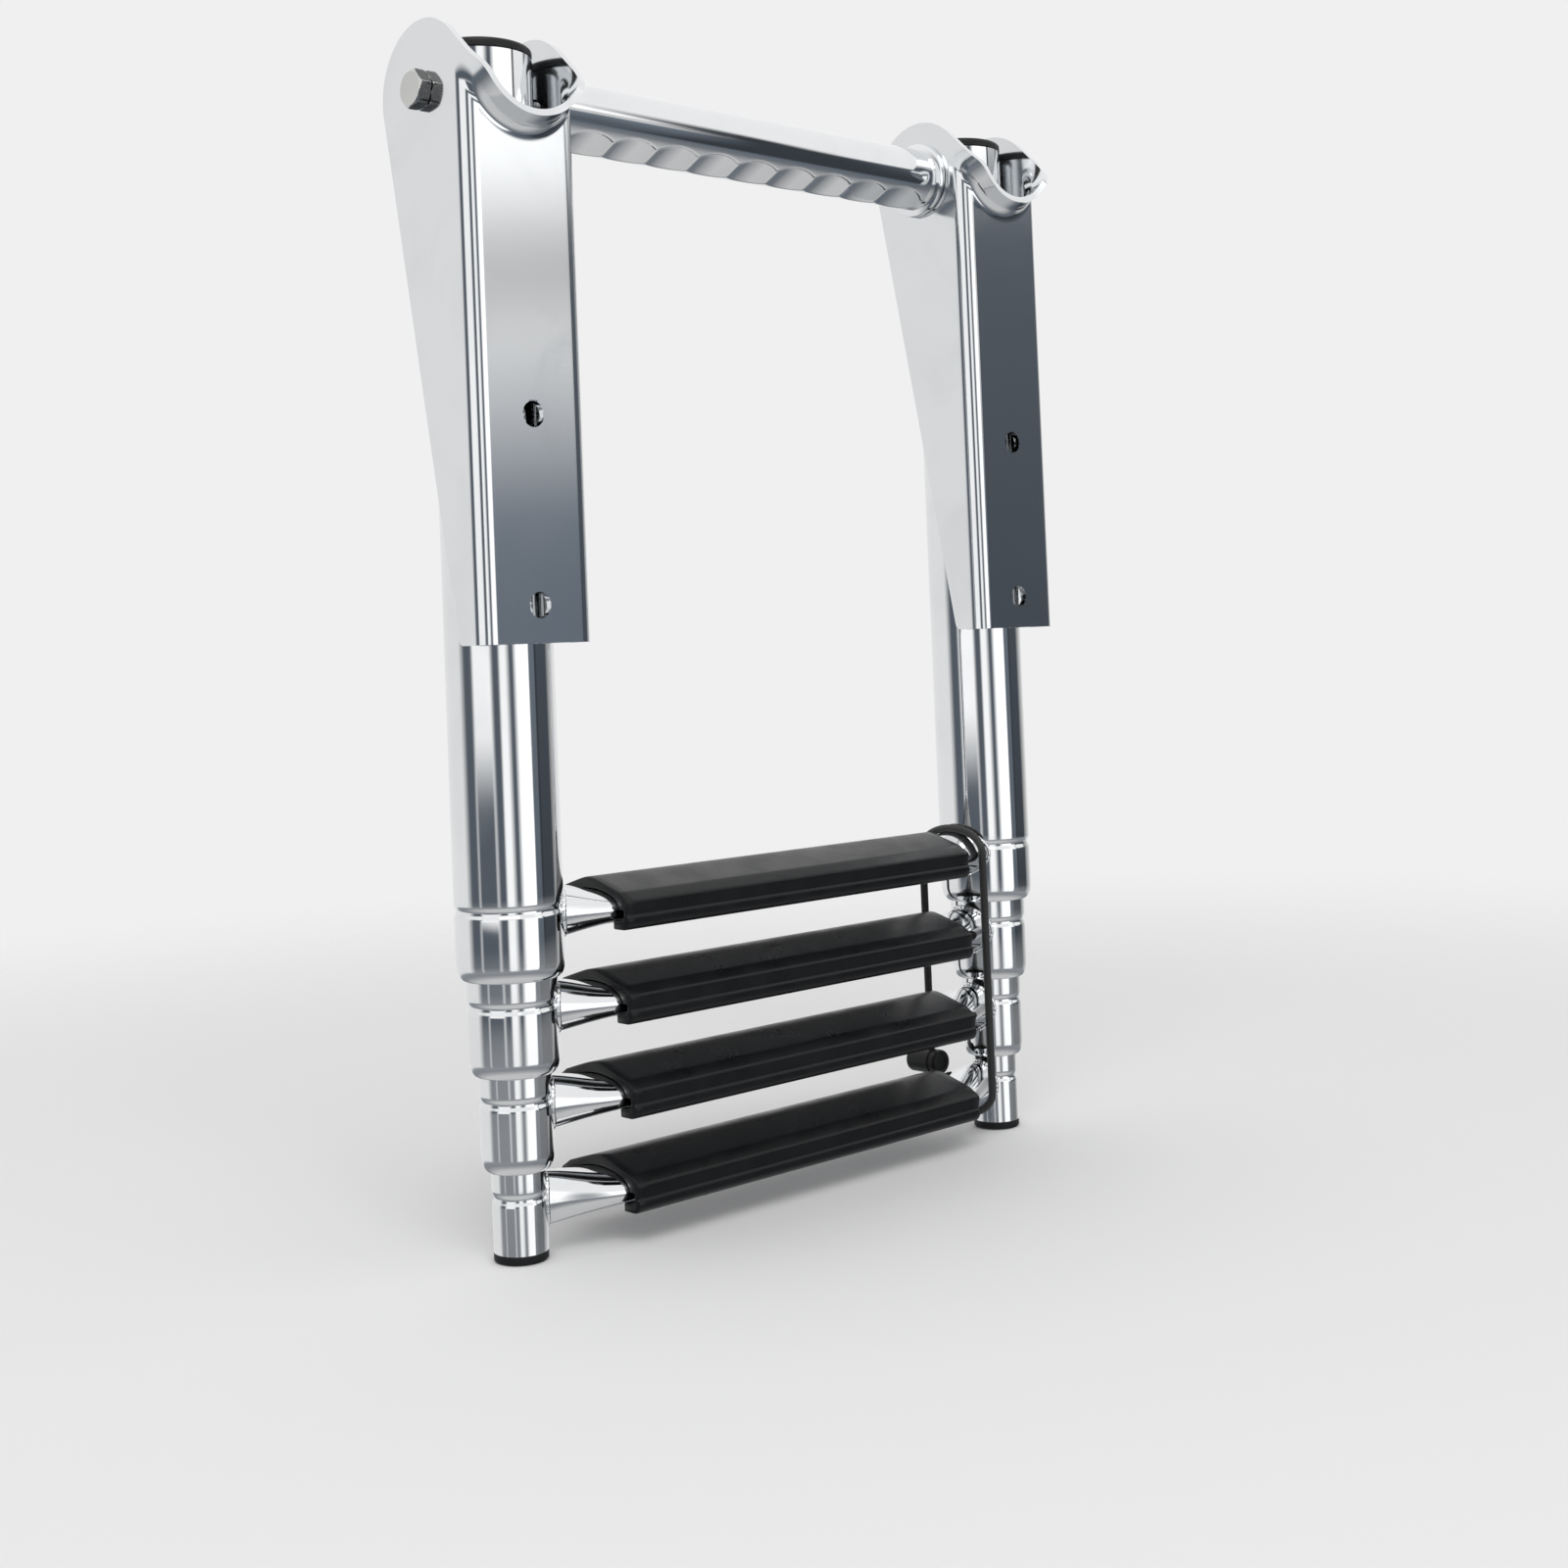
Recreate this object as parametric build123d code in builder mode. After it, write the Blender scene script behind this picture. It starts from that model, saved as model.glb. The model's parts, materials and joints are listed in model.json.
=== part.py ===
"""Telescopic boat ladder with four steps, folded into its two hinge brackets.

Four stainless tube sections nest in each leg. Each section carries one rung
with a plastic tread. A U-shaped bracket hinges on the upper end of each leg,
and a hand grip joins the two upper ends on the same axis.

Units are millimetres. The origin is on the face of the left bracket's web,
midway between its screw holes. +X runs across the ladder to the right leg,
-Y is the way the webs face and +Z is up along the legs. The pieces are drawn
about the middle of the ladder at floor level and moved there by save().
"""
from build123d import *
import math
import os

# Legs
LEG_SPACING = 250.0            # between the axes of the two legs
SECTION_OD = (38.1, 31.75, 25.4, 19.05)
SECTION_WALL = 1.2
SECTION_LENGTH = 320.0
SECTION_PITCH = 33.0           # from one rung to the next when collapsed
LOWEST_RUNG_Z = 20.0
MOUTH_DROP = 22.0              # from a rung's axis down to its section's mouth
BEAD_RISE = 2.0                # from a rung's axis up to the rolled bead
BEAD_WIDTH = 4.0
BEAD_DEPTH = 0.8
MOUTH_CLEARANCE = 0.5          # between a mouth and the tube that slides in it
MOUTH_TURN_SHARE = 0.9         # of how far the mouth turns in, the rest stays flat
MOUTH_HEIGHT = 6.0             # the mouth's drawn-in part
RUNNING_FIT = 0.06             # radial, between a bush and what slides on it
GUIDE_LENGTH = 12.0
SLIDER_LENGTH = 14.0
SLIDER_RIM = 2.0
FOOT_PAD = 3.0
FOOT_PLUG = 12.0
CAP_THICK = 3.4
CAP_PLUG = 8.0

# Rungs and treads
RUNG_WALL = 1.2
RUNG_FLAT_HALF = (16.0, 6.0)   # half width and half height under the tread
RUNG_ROOT_SHARE = 0.72         # of the leg tube's radius, half width at the weld
RUNG_ROOT_HEIGHT = 8.8         # half height at the weld
TREAD_LENGTH = 180.0
TREAD_FIT = 0.1
TREAD_TOP = 9.1                # above the rung's axis
TREAD_BOTTOM = 8.8             # below the rung's axis
TREAD_NOSE = 22.3              # from the rung's axis forward
TREAD_CREASE = 17.5            # where the crowned top turns down to the nose
TREAD_CROWN = 4.7              # from the crease up to the top
TREAD_LIP_GAP = 12.0           # half width of the slot underneath

# Hinge and grip
PIVOT_BELOW_TOP = 14.0         # from the widest tube's upper end down to the pivot
PIVOT_D = 8.0
PIVOT_FIT = 0.05
GRIP_OD = 25.4
GRIP_WALL = 2.5
GRIP_PITCH = 20.5
GRIP_SCALLOP = 18.5            # width of one finger hollow
GRIP_COUNT = 9
GRIP_DEPTH = 1.3
GRIP_AIM = 35.0                # degrees forward of straight down
COLLAR_OD = 31.0
COLLAR_THICK = 3.0
GRIP_PLUG = 20.0
HEAD_ACROSS_FLATS = 13.0
HEAD_HEIGHT = 5.3
HEAD_FACE_D = 12.4             # round face left by the head's chamfer
HEAD_CHAMFER = 0.7
BOLT_END_GAP = 2.0             # from a bolt's end to the inner end of its plug
SIDE_GAP = 0.1                 # axial play beside a cheek

# Brackets
SHEET = 2.5
CHEEK_CLEARANCE = 2.2          # between a leg and the inside of a cheek
WEB_CLEARANCE = 3.45           # between a leg and the inside of the web
BEND_OUTSIDE = 6.0
BRACKET_DROP = 191.0           # from the pivot down to the bracket's end
EAR_RADIUS = 24.5
TAIL_DEPTH = 14.5              # cheek depth at the bracket's end
TAIL_ROUND = 3.0
CRADLE_ANGLE = 17.0            # how far the open ladder stands off the vertical
CRADLE_CLEARANCE = 0.4
LIP_REACH = 9.0                # from the web's face to the end of the lip
LIP_ROUND = 8.0
SCREW_D = 9.0
SCREW_DROP = 113.0             # from the pivot down to the upper screw hole
SCREW_PITCH = 65.0

# Retaining loop
CORD_D = 3.2
CORD_BESIDE_TREAD = 14.0       # from the treads' ends to the cord
CORD_GAP = 0.3
TOGGLE_D = 10.4
TOGGLE_LENGTH = 17.0
TOGGLE_FRONT = 6.0             # from the cord forward to the toggle's front end
TOGGLE_RISE = 8.7              # above the lowest rung's axis

# Worked out from the sizes above
LEG_X = LEG_SPACING / 2
CORD_X = TREAD_LENGTH / 2 + CORD_BESIDE_TREAD
SECTIONS = len(SECTION_OD)
TOP_RUNG_Z = LOWEST_RUNG_Z + (SECTIONS - 1) * SECTION_PITCH
PIVOT_Z = TOP_RUNG_Z - MOUTH_DROP + SECTION_LENGTH - PIVOT_BELOW_TOP
CHEEK_HALF = SECTION_OD[0] / 2 + CHEEK_CLEARANCE
BRACKET_HALF = CHEEK_HALF + SHEET
WEB_Y = -(SECTION_OD[0] / 2 + WEB_CLEARANCE + SHEET)
BRACKET_BOTTOM = PIVOT_Z - BRACKET_DROP
SCREW_MIDDLE_Z = PIVOT_Z - SCREW_DROP - SCREW_PITCH / 2
SIDES = (("left", -1), ("right", 1))


def rung_z(section):
    """Height of a section's rung axis; section 0 is the widest."""
    return LOWEST_RUNG_Z + (SECTIONS - 1 - section) * SECTION_PITCH


def outer_radius(section):
    return SECTION_OD[section] / 2


def inner_radius(section):
    return SECTION_OD[section] / 2 - SECTION_WALL


def mouth_z(section):
    """Lower end of a section's tube; the last one ends on its foot."""
    if section == SECTIONS - 1:
        return FOOT_PAD
    return rung_z(section) - MOUTH_DROP


def top_z(section):
    return rung_z(section) - MOUTH_DROP + SECTION_LENGTH


def mouth_hole(section):
    """Radius of the hole in a section's mouth, round the next tube."""
    return outer_radius(section + 1) + MOUTH_CLEARANCE


def mouth_turn(section):
    """How far a section's mouth is drawn in on its curve."""
    return MOUTH_TURN_SHARE * (outer_radius(section) - mouth_hole(section))


def mouth_outline(section):
    """Half of a tube's wall with its mouth drawn in on a quarter of an ellipse."""
    radius = outer_radius(section)
    turn = mouth_turn(section)
    low = mouth_z(section)
    high = top_z(section)
    hole = mouth_hole(section)
    centre = (radius - turn, low + MOUTH_HEIGHT)
    with BuildSketch(Plane.XZ) as wall:
        with BuildLine():
            outside = EllipticalCenterArc(centre, turn, MOUTH_HEIGHT, 270, arc_size=90)
            inside = EllipticalCenterArc(
                centre, turn - SECTION_WALL, MOUTH_HEIGHT - SECTION_WALL, 270, arc_size=90)
            Polyline(outside @ 1, (radius, high), (radius - SECTION_WALL, high), inside @ 1)
            Polyline(inside @ 0, (hole, low + SECTION_WALL), (hole, low), outside @ 0)
        make_face()
    return wall.sketch


def leg_tube(section, side):
    """One round tube with a rolled bead and, except the last, a drawn-in mouth."""
    radius = outer_radius(section)
    low = mouth_z(section)
    high = top_z(section)
    bead = rung_z(section) + BEAD_RISE
    with BuildPart() as tube:
        if section < SECTIONS - 1:
            add(mouth_outline(section))
        else:
            with BuildSketch(Plane.XZ):
                with Locations((radius - SECTION_WALL / 2, (low + high) / 2)):
                    Rectangle(SECTION_WALL, high - low)
        revolve(axis=Axis.Z)
        with BuildSketch(Plane.XZ):
            with Locations((radius, bead)):
                Ellipse(BEAD_DEPTH, BEAD_WIDTH / 2)
        revolve(axis=Axis.Z, mode=Mode.SUBTRACT)
        if section == 0:
            with Locations(Location((0, 0, PIVOT_Z), (0, 90, 0))):
                Cylinder(PIVOT_D / 2, SECTION_OD[0] * 2, mode=Mode.SUBTRACT)
    return Pos(side * LEG_X, 0, 0) * tube.part


def guide_bush(section, side):
    """Plastic ring inside a section's mouth, which the next tube runs in."""
    low = mouth_z(section) + MOUTH_HEIGHT
    with BuildPart() as bush:
        with BuildSketch(Plane.XY.offset(low)):
            Circle(inner_radius(section))
            Circle(outer_radius(section + 1) + RUNNING_FIT, mode=Mode.SUBTRACT)
        extrude(amount=GUIDE_LENGTH)
    return Pos(side * LEG_X, 0, 0) * bush.part


def slider(section, side):
    """Plastic sleeve on a tube's upper end, which runs in the tube outside it."""
    with BuildPart() as sleeve:
        with BuildSketch(Plane.XY.offset(top_z(section) - SLIDER_LENGTH)):
            Circle(inner_radius(section - 1) - RUNNING_FIT)
            Circle(outer_radius(section), mode=Mode.SUBTRACT)
        extrude(amount=SLIDER_LENGTH)
        with BuildSketch(Plane.XY.offset(top_z(section))):
            Circle(inner_radius(section - 1) - RUNNING_FIT)
            Circle(inner_radius(section), mode=Mode.SUBTRACT)
        extrude(amount=SLIDER_RIM)
    return Pos(side * LEG_X, 0, 0) * sleeve.part


def foot(side):
    """Black plug with a pad, pressed into the lowest tube."""
    last = SECTIONS - 1
    with BuildPart() as plug:
        with BuildSketch(Plane.XY):
            Circle(outer_radius(last))
        extrude(amount=FOOT_PAD)
        fillet(plug.edges().group_by(Axis.Z)[0], 0.8)
        with BuildSketch(Plane.XY.offset(FOOT_PAD)):
            Circle(inner_radius(last))
        extrude(amount=FOOT_PLUG)
    return Pos(side * LEG_X, 0, 0) * plug.part


def cap(side):
    """Black plug that closes the widest tube above the pivot."""
    high = top_z(0)
    with BuildPart() as plug:
        with BuildSketch(Plane.XY.offset(high)):
            Circle(outer_radius(0))
        extrude(amount=CAP_THICK)
        fillet(plug.edges().group_by(Axis.Z)[-1], 1.5)
        with BuildSketch(Plane.XY.offset(high - CAP_PLUG)):
            Circle(inner_radius(0))
        extrude(amount=CAP_PLUG)
    return Pos(side * LEG_X, 0, 0) * plug.part


def rung_root_half(section):
    return RUNG_ROOT_SHARE * outer_radius(section), RUNG_ROOT_HEIGHT


def rung_body(section, inset):
    """Flattened tube with fish-tail ends, shrunk by inset all round."""
    flat = [half - inset for half in RUNG_FLAT_HALF]
    root = [half - inset for half in rung_root_half(section)]
    tread_end = TREAD_LENGTH / 2
    root_x = LEG_X - outer_radius(section) * math.sqrt(1 - RUNG_ROOT_SHARE ** 2)
    with BuildPart() as body:
        with BuildSketch(Plane.YZ.offset(-tread_end)):
            Ellipse(*flat)
        extrude(amount=TREAD_LENGTH)
        for side in (-1, 1):
            with BuildSketch(Plane.YZ.offset(side * tread_end)):
                Ellipse(*flat)
            with BuildSketch(Plane.YZ.offset(side * root_x)):
                Ellipse(*root)
            loft()
            with BuildSketch(Plane.YZ.offset(side * root_x)):
                Ellipse(*root)
            extrude(amount=side * (LEG_X - root_x))
    return body.part


def rung(section):
    """Steel rung, hollow, coped to the two tubes that it is welded to."""
    with BuildPart() as steel:
        add(rung_body(section, 0))
        add(rung_body(section, RUNG_WALL), mode=Mode.SUBTRACT)
        with Locations((-LEG_X, 0, 0), (LEG_X, 0, 0)):
            Cylinder(outer_radius(section), 60, mode=Mode.SUBTRACT)
    return Pos(0, 0, rung_z(section)) * steel.part


def tread(section):
    """Plastic cover, extruded in one section and slid over the rung."""
    with BuildPart() as cover:
        with BuildSketch(Plane.YZ.offset(-TREAD_LENGTH / 2)) as section_sketch:
            with BuildLine():
                crease_z = TREAD_TOP - TREAD_CROWN
                crown = ThreePointArc((TREAD_CREASE, crease_z), (0, TREAD_TOP), (-TREAD_CREASE, crease_z))
                front = Polyline(
                    crown @ 1,
                    (-TREAD_NOSE + 0.4, 1.6),
                    (-TREAD_NOSE, 0.9),
                    (-TREAD_NOSE + 0.7, -3.4),
                    (-TREAD_NOSE + 0.1, -4.2),
                    (-TREAD_NOSE + 0.2, -6.2),
                    (-TREAD_NOSE + 1.4, -8.2),
                    (-TREAD_NOSE + 2.6, -TREAD_BOTTOM),
                    (0, -TREAD_BOTTOM),
                )
                mirror(front, about=Plane.YZ)
            make_face()
            Ellipse(RUNG_FLAT_HALF[0] + TREAD_FIT, RUNG_FLAT_HALF[1] + TREAD_FIT, mode=Mode.SUBTRACT)
            with Locations((0, -TREAD_BOTTOM)):
                Rectangle(2 * TREAD_LIP_GAP, TREAD_BOTTOM * 1.2, mode=Mode.SUBTRACT)
        extrude(amount=TREAD_LENGTH)
    return Pos(0, 0, rung_z(section)) * cover.part


def cheek_outline():
    """Side view of a bracket, in the YZ plane, from the tail to the ear."""
    tail = Vector(WEB_Y + TAIL_DEPTH, BRACKET_BOTTOM)
    ear = Vector(0, PIVOT_Z)
    reach = (ear - tail).length
    lean = math.atan2(ear.X - tail.X, ear.Y - tail.Y) + math.asin(EAR_RADIUS / reach)
    run = math.sqrt(reach ** 2 - EAR_RADIUS ** 2)
    rear = Vector(tail.X + run * math.sin(lean), tail.Y + run * math.cos(lean))
    slope = EAR_RADIUS * math.sqrt(0.5)
    front = Vector(-slope, PIVOT_Z + slope)
    nose_y = WEB_Y - LIP_REACH
    nose = Vector(nose_y, front.Y - (front.X - nose_y))
    with BuildSketch(Plane.YZ) as outline:
        with BuildLine():
            Line(tail, rear)
            ThreePointArc(rear, (0, PIVOT_Z + EAR_RADIUS), front)
            Line(front, nose)
            Line(nose, (nose_y, BRACKET_BOTTOM))
            Line((nose_y, BRACKET_BOTTOM), tail)
        make_face()
        nose_corner = outline.vertices().sort_by_distance((nose.X, nose.Y, 0))[0]
        fillet(nose_corner, LIP_ROUND)
        tail_corner = outline.vertices().sort_by_distance((tail.X, tail.Y, 0))[0]
        fillet(tail_corner, TAIL_ROUND)
    return outline.sketch


def cradle_plane(advance):
    """Plane across the open leg's axis, at a distance forward of the pivot."""
    tilt = math.radians(CRADLE_ANGLE)
    aim = Vector(0, -math.cos(tilt), math.sin(tilt))
    origin = Vector(0, 0, PIVOT_Z) + aim * advance
    return Plane(origin=origin, x_dir=(1, 0, 0), z_dir=aim)


def bracket(side):
    """Bent sheet channel with ears, a flared cradle lip and two screw holes."""
    cradle_radius = CHEEK_HALF
    seat = outer_radius(0) + CRADLE_CLEARANCE
    lift = cradle_radius - seat
    tilt = math.radians(CRADLE_ANGLE)
    lip_start = (-WEB_Y - SHEET - (seat + SHEET) * math.sin(tilt)) / math.cos(tilt)
    lip_end = (-WEB_Y + LIP_REACH) / math.cos(tilt)
    depth = EAR_RADIUS - WEB_Y
    height = BRACKET_DROP + EAR_RADIUS
    with BuildPart() as channel:
        with BuildSketch(Plane.XY.offset(BRACKET_BOTTOM)):
            with Locations((0, WEB_Y + depth / 2)):
                outer = Rectangle(2 * BRACKET_HALF, depth)
            fillet(outer.vertices().group_by(Axis.Y)[0], BEND_OUTSIDE)
        extrude(amount=height)
        with BuildSketch(cradle_plane(lip_start)):
            with Locations((0, lift)):
                Circle(cradle_radius + SHEET)
            with Locations((0, lift + cradle_radius)):
                Rectangle(3 * cradle_radius, 2 * cradle_radius, mode=Mode.SUBTRACT)
        extrude(amount=lip_end - lip_start)
        extrude(cheek_outline(), amount=BRACKET_HALF, both=True, mode=Mode.INTERSECT)
        with BuildSketch(Plane.XY.offset(BRACKET_BOTTOM)):
            with Locations((0, WEB_Y + SHEET + depth / 2)):
                inner = Rectangle(2 * CHEEK_HALF, depth)
            fillet(inner.vertices().group_by(Axis.Y)[0], BEND_OUTSIDE - SHEET)
        extrude(amount=height, mode=Mode.SUBTRACT)
        with BuildSketch(cradle_plane(0)):
            with Locations((0, lift)):
                Circle(cradle_radius)
            with Locations((0, lift + cradle_radius)):
                Rectangle(2 * cradle_radius, 2 * cradle_radius)
        extrude(amount=EAR_RADIUS * 3, mode=Mode.SUBTRACT)
        with Locations(Location((0, 0, PIVOT_Z), (0, 90, 0))):
            Cylinder(PIVOT_D / 2 + PIVOT_FIT, 3 * BRACKET_HALF, mode=Mode.SUBTRACT)
        for drop in (SCREW_DROP, SCREW_DROP + SCREW_PITCH):
            with Locations(Location((0, WEB_Y + SHEET / 2, PIVOT_Z - drop), (90, 0, 0))):
                Cylinder(SCREW_D / 2, 2 * SHEET, mode=Mode.SUBTRACT)
    return Pos(side * LEG_X, 0, 0) * channel.part


def grip_half_length():
    return LEG_X - BRACKET_HALF - SIDE_GAP - COLLAR_THICK


def hand_grip():
    """Tube between the brackets with a row of finger scallops underneath."""
    half = grip_half_length()
    cutter_radius = ((GRIP_SCALLOP / 2) ** 2 + GRIP_DEPTH ** 2) / (2 * GRIP_DEPTH)
    aim = math.radians(GRIP_AIM)
    reach = GRIP_OD / 2 - GRIP_DEPTH + cutter_radius
    with BuildPart() as grip:
        with BuildSketch(Plane.YZ.offset(-half)):
            Circle(GRIP_OD / 2)
        extrude(amount=2 * half)
        for number in range(GRIP_COUNT):
            x = (number - (GRIP_COUNT - 1) / 2) * GRIP_PITCH
            centre = Vector(x, -reach * math.sin(aim), -reach * math.cos(aim))
            across = Plane(origin=centre, x_dir=(1, 0, 0), z_dir=(0, -math.cos(aim), math.sin(aim)))
            with Locations(across.location):
                Cylinder(cutter_radius, 2 * GRIP_OD, mode=Mode.SUBTRACT)
        with BuildSketch(Plane.YZ.offset(-half)):
            Circle(GRIP_OD / 2 - GRIP_WALL)
        extrude(amount=2 * half, mode=Mode.SUBTRACT)
    return Pos(0, 0, PIVOT_Z) * grip.part


def collar(side):
    """Thin ring between the grip's end and the inner cheek."""
    start = side * grip_half_length()
    with BuildPart() as ring:
        with BuildSketch(Plane.YZ.offset(start)):
            Circle(COLLAR_OD / 2)
            Circle(PIVOT_D / 2, mode=Mode.SUBTRACT)
        extrude(amount=side * COLLAR_THICK)
        fillet(ring.edges().filter_by(GeomType.CIRCLE).group_by(SortBy.RADIUS)[-1], 1.0)
    return Pos(0, 0, PIVOT_Z) * ring.part


def grip_plug(side):
    """Steel plug in the grip's end, bored for the bolt that screws into it."""
    start = side * grip_half_length()
    with BuildPart() as plug:
        with BuildSketch(Plane.YZ.offset(start)):
            Circle(GRIP_OD / 2 - GRIP_WALL)
            Circle(PIVOT_D / 2, mode=Mode.SUBTRACT)
        extrude(amount=-side * GRIP_PLUG)
    return Pos(0, 0, PIVOT_Z) * plug.part


def pivot_bolt(side):
    """Hexagon bolt through cheek, leg, cheek and collar into the grip's plug."""
    under_head = LEG_X + BRACKET_HALF + SIDE_GAP
    end = grip_half_length() - GRIP_PLUG + BOLT_END_GAP
    top = under_head + HEAD_HEIGHT
    corner = HEAD_ACROSS_FLATS / math.sqrt(3)
    with BuildPart() as bolt:
        with BuildSketch(Plane.YZ.offset(side * under_head)):
            RegularPolygon(HEAD_ACROSS_FLATS / 2, 6, major_radius=False)
        extrude(amount=side * HEAD_HEIGHT)
        with BuildSketch(Plane.XY):
            with BuildLine():
                Polyline(
                    (side * under_head, 0),
                    (side * under_head, corner),
                    (side * (top - HEAD_CHAMFER), corner),
                    (side * top, HEAD_FACE_D / 2),
                    (side * top, 0),
                    close=True,
                )
            make_face()
        revolve(axis=Axis.X, mode=Mode.INTERSECT)
        with BuildSketch(Plane.YZ.offset(side * under_head)):
            Circle(PIVOT_D / 2)
        extrude(amount=-side * (under_head - end))
    return Pos(0, 0, PIVOT_Z) * bolt.part


def cord_half_size():
    """Half width and half height of the loop over the top rung, to the cord's middle."""
    root_x = LEG_X - outer_radius(0) * math.sqrt(1 - RUNG_ROOT_SHARE ** 2)
    share = (CORD_X - TREAD_LENGTH / 2) / (root_x - TREAD_LENGTH / 2)
    room = CORD_GAP + CORD_D / 2
    flat = RUNG_FLAT_HALF
    root = rung_root_half(0)
    return [flat[i] + share * (root[i] - flat[i]) + room for i in (0, 1)]


def retaining_loop():
    """Elastic cord round the right ends of all four rungs."""
    half, rise = cord_half_size()
    with BuildPart() as loop:
        with BuildSketch(Plane.YZ.offset(CORD_X), mode=Mode.PRIVATE) as outline:
            with BuildLine():
                over = EllipticalCenterArc((0, TOP_RUNG_Z), half, rise, 0, arc_size=180)
                under = EllipticalCenterArc((0, LOWEST_RUNG_Z), half, rise, 180, arc_size=180)
                Line(over @ 1, under @ 0)
                Line(under @ 1, over @ 0)
            make_face()
        path = outline.sketch.faces()[0].outer_wire()
        with BuildSketch(Plane(origin=path @ 0, z_dir=path % 0)):
            Circle(CORD_D / 2)
        sweep(path=path)
    return loop.part


def toggle():
    """Barrel that grips the rear run of the loop, above the lowest rung."""
    with BuildPart() as barrel:
        with BuildSketch(Plane.XZ.offset(TOGGLE_FRONT)):
            Circle(TOGGLE_D / 2)
        extrude(amount=-TOGGLE_LENGTH)
        fillet(barrel.edges().filter_by(GeomType.CIRCLE), 1.5)
        Cylinder(CORD_D / 2 + TREAD_FIT, 2 * TOGGLE_D, mode=Mode.SUBTRACT)
    return Pos(CORD_X, cord_half_size()[0], LOWEST_RUNG_Z + TOGGLE_RISE) * barrel.part


def save(shape, name):
    """Move a piece to its place from the origin, label it and write it."""
    piece = Pos(LEG_X, -WEB_Y, -SCREW_MIDDLE_Z) * shape
    piece.label = name
    export_step(piece, f"parts/{name}.step")


def main():
    os.makedirs("parts", exist_ok=True)
    for section in range(SECTIONS):
        save(rung(section), f"rung_{section + 1}")
        save(tread(section), f"tread_{section + 1}")
    for word, side in SIDES:
        for section in range(SECTIONS):
            save(leg_tube(section, side), f"leg_tube_{section + 1}_{word}")
            if section > 0:
                save(slider(section, side), f"slider_{section + 1}_{word}")
            if section < SECTIONS - 1:
                save(guide_bush(section, side), f"guide_bush_{section + 1}_{word}")
        save(foot(side), f"foot_{word}")
        save(cap(side), f"cap_{word}")
        save(bracket(side), f"bracket_{word}")
        save(collar(side), f"collar_{word}")
        save(grip_plug(side), f"grip_plug_{word}")
        save(pivot_bolt(side), f"pivot_bolt_{word}")
    save(hand_grip(), "hand_grip")
    save(retaining_loop(), "retaining_loop")
    save(toggle(), "loop_toggle")


if __name__ == "__main__":
    main()
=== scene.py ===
"""Dresses the telescopic boat ladder in its own steel, plastic and cord.

Sizes are millimetres, drawn about the middle of the ladder at floor level as
in the part's source. placed() moves them to the frame's metres.
"""

import json
import logging
import math
from dataclasses import dataclass
from enum import Enum
from typing import Callable, Sequence

import bmesh
import bpy
import numpy as np
from mathutils import Matrix, Vector


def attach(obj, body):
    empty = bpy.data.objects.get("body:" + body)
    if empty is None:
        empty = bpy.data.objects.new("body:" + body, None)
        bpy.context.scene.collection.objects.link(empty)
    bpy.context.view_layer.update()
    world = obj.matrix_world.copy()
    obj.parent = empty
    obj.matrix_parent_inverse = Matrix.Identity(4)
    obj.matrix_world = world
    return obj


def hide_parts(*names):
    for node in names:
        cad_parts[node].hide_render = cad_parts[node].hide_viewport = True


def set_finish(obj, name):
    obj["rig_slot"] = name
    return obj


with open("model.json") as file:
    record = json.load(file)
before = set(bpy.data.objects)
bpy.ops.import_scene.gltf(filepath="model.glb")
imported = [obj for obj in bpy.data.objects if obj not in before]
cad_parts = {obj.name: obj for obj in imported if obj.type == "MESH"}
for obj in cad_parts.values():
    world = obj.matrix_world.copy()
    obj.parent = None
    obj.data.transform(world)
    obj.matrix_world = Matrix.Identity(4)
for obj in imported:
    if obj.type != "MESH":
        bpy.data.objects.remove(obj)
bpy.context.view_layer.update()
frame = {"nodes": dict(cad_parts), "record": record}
LOG = logging.getLogger("ladder")

MICRON = 1e-6
# A radius past everything, for places that a hollow doesn't reach.
NOWHERE = 99.0

Faces = list[tuple[int, ...]]
Socket = bpy.types.NodeSocket
Tree = bpy.types.NodeTree
Piece = bpy.types.Object
Pieces = list[bpy.types.Object]
Steps = tuple[tuple[float, float], ...]


class Side(Enum):
    """Which leg a piece belongs to; the value is the sign of its X."""

    LEFT = -1
    RIGHT = 1

    @property
    def word(self) -> str:
        """The word that ends the names of this side's pieces."""
        return self.name.lower()


@dataclass(frozen=True)
class Ladder:
    """Sizes that several pieces share, in millimetres."""

    leg_x: float = 125.0
    radii: tuple[float, ...] = (19.05, 15.875, 12.7, 9.525)
    wall: float = 1.2
    length: float = 320.0
    pitch: float = 33.0
    lowest_rung: float = 20.0
    mouth_drop: float = 22.0
    foot_pad: float = 3.0
    tread_half: float = 90.0
    pivot_z: float = 403.0
    web_y: float = -25.0
    screw_middle: float = 257.5
    channel_half: float = 23.75
    pin_hole: float = 4.05

    def rung_z(self, section: int) -> float:
        """Height of a section's rung axis; section 0 is the widest."""
        return self.lowest_rung + (len(self.radii) - 1 - section) * self.pitch

    def mouth_z(self, section: int) -> float:
        """Lower end of a section's tube."""
        if section == len(self.radii) - 1:
            return self.foot_pad
        return self.rung_z(section) - self.mouth_drop

    def top_z(self, section: int) -> float:
        """Upper end of a section's tube."""
        return self.rung_z(section) - self.mouth_drop + self.length

    def body(self, section: int) -> str:
        """Name of the CAD body that a section rides with."""
        return "upper_frame" if section == 0 else f"section_{section + 1}"


SIZE = Ladder()


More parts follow.
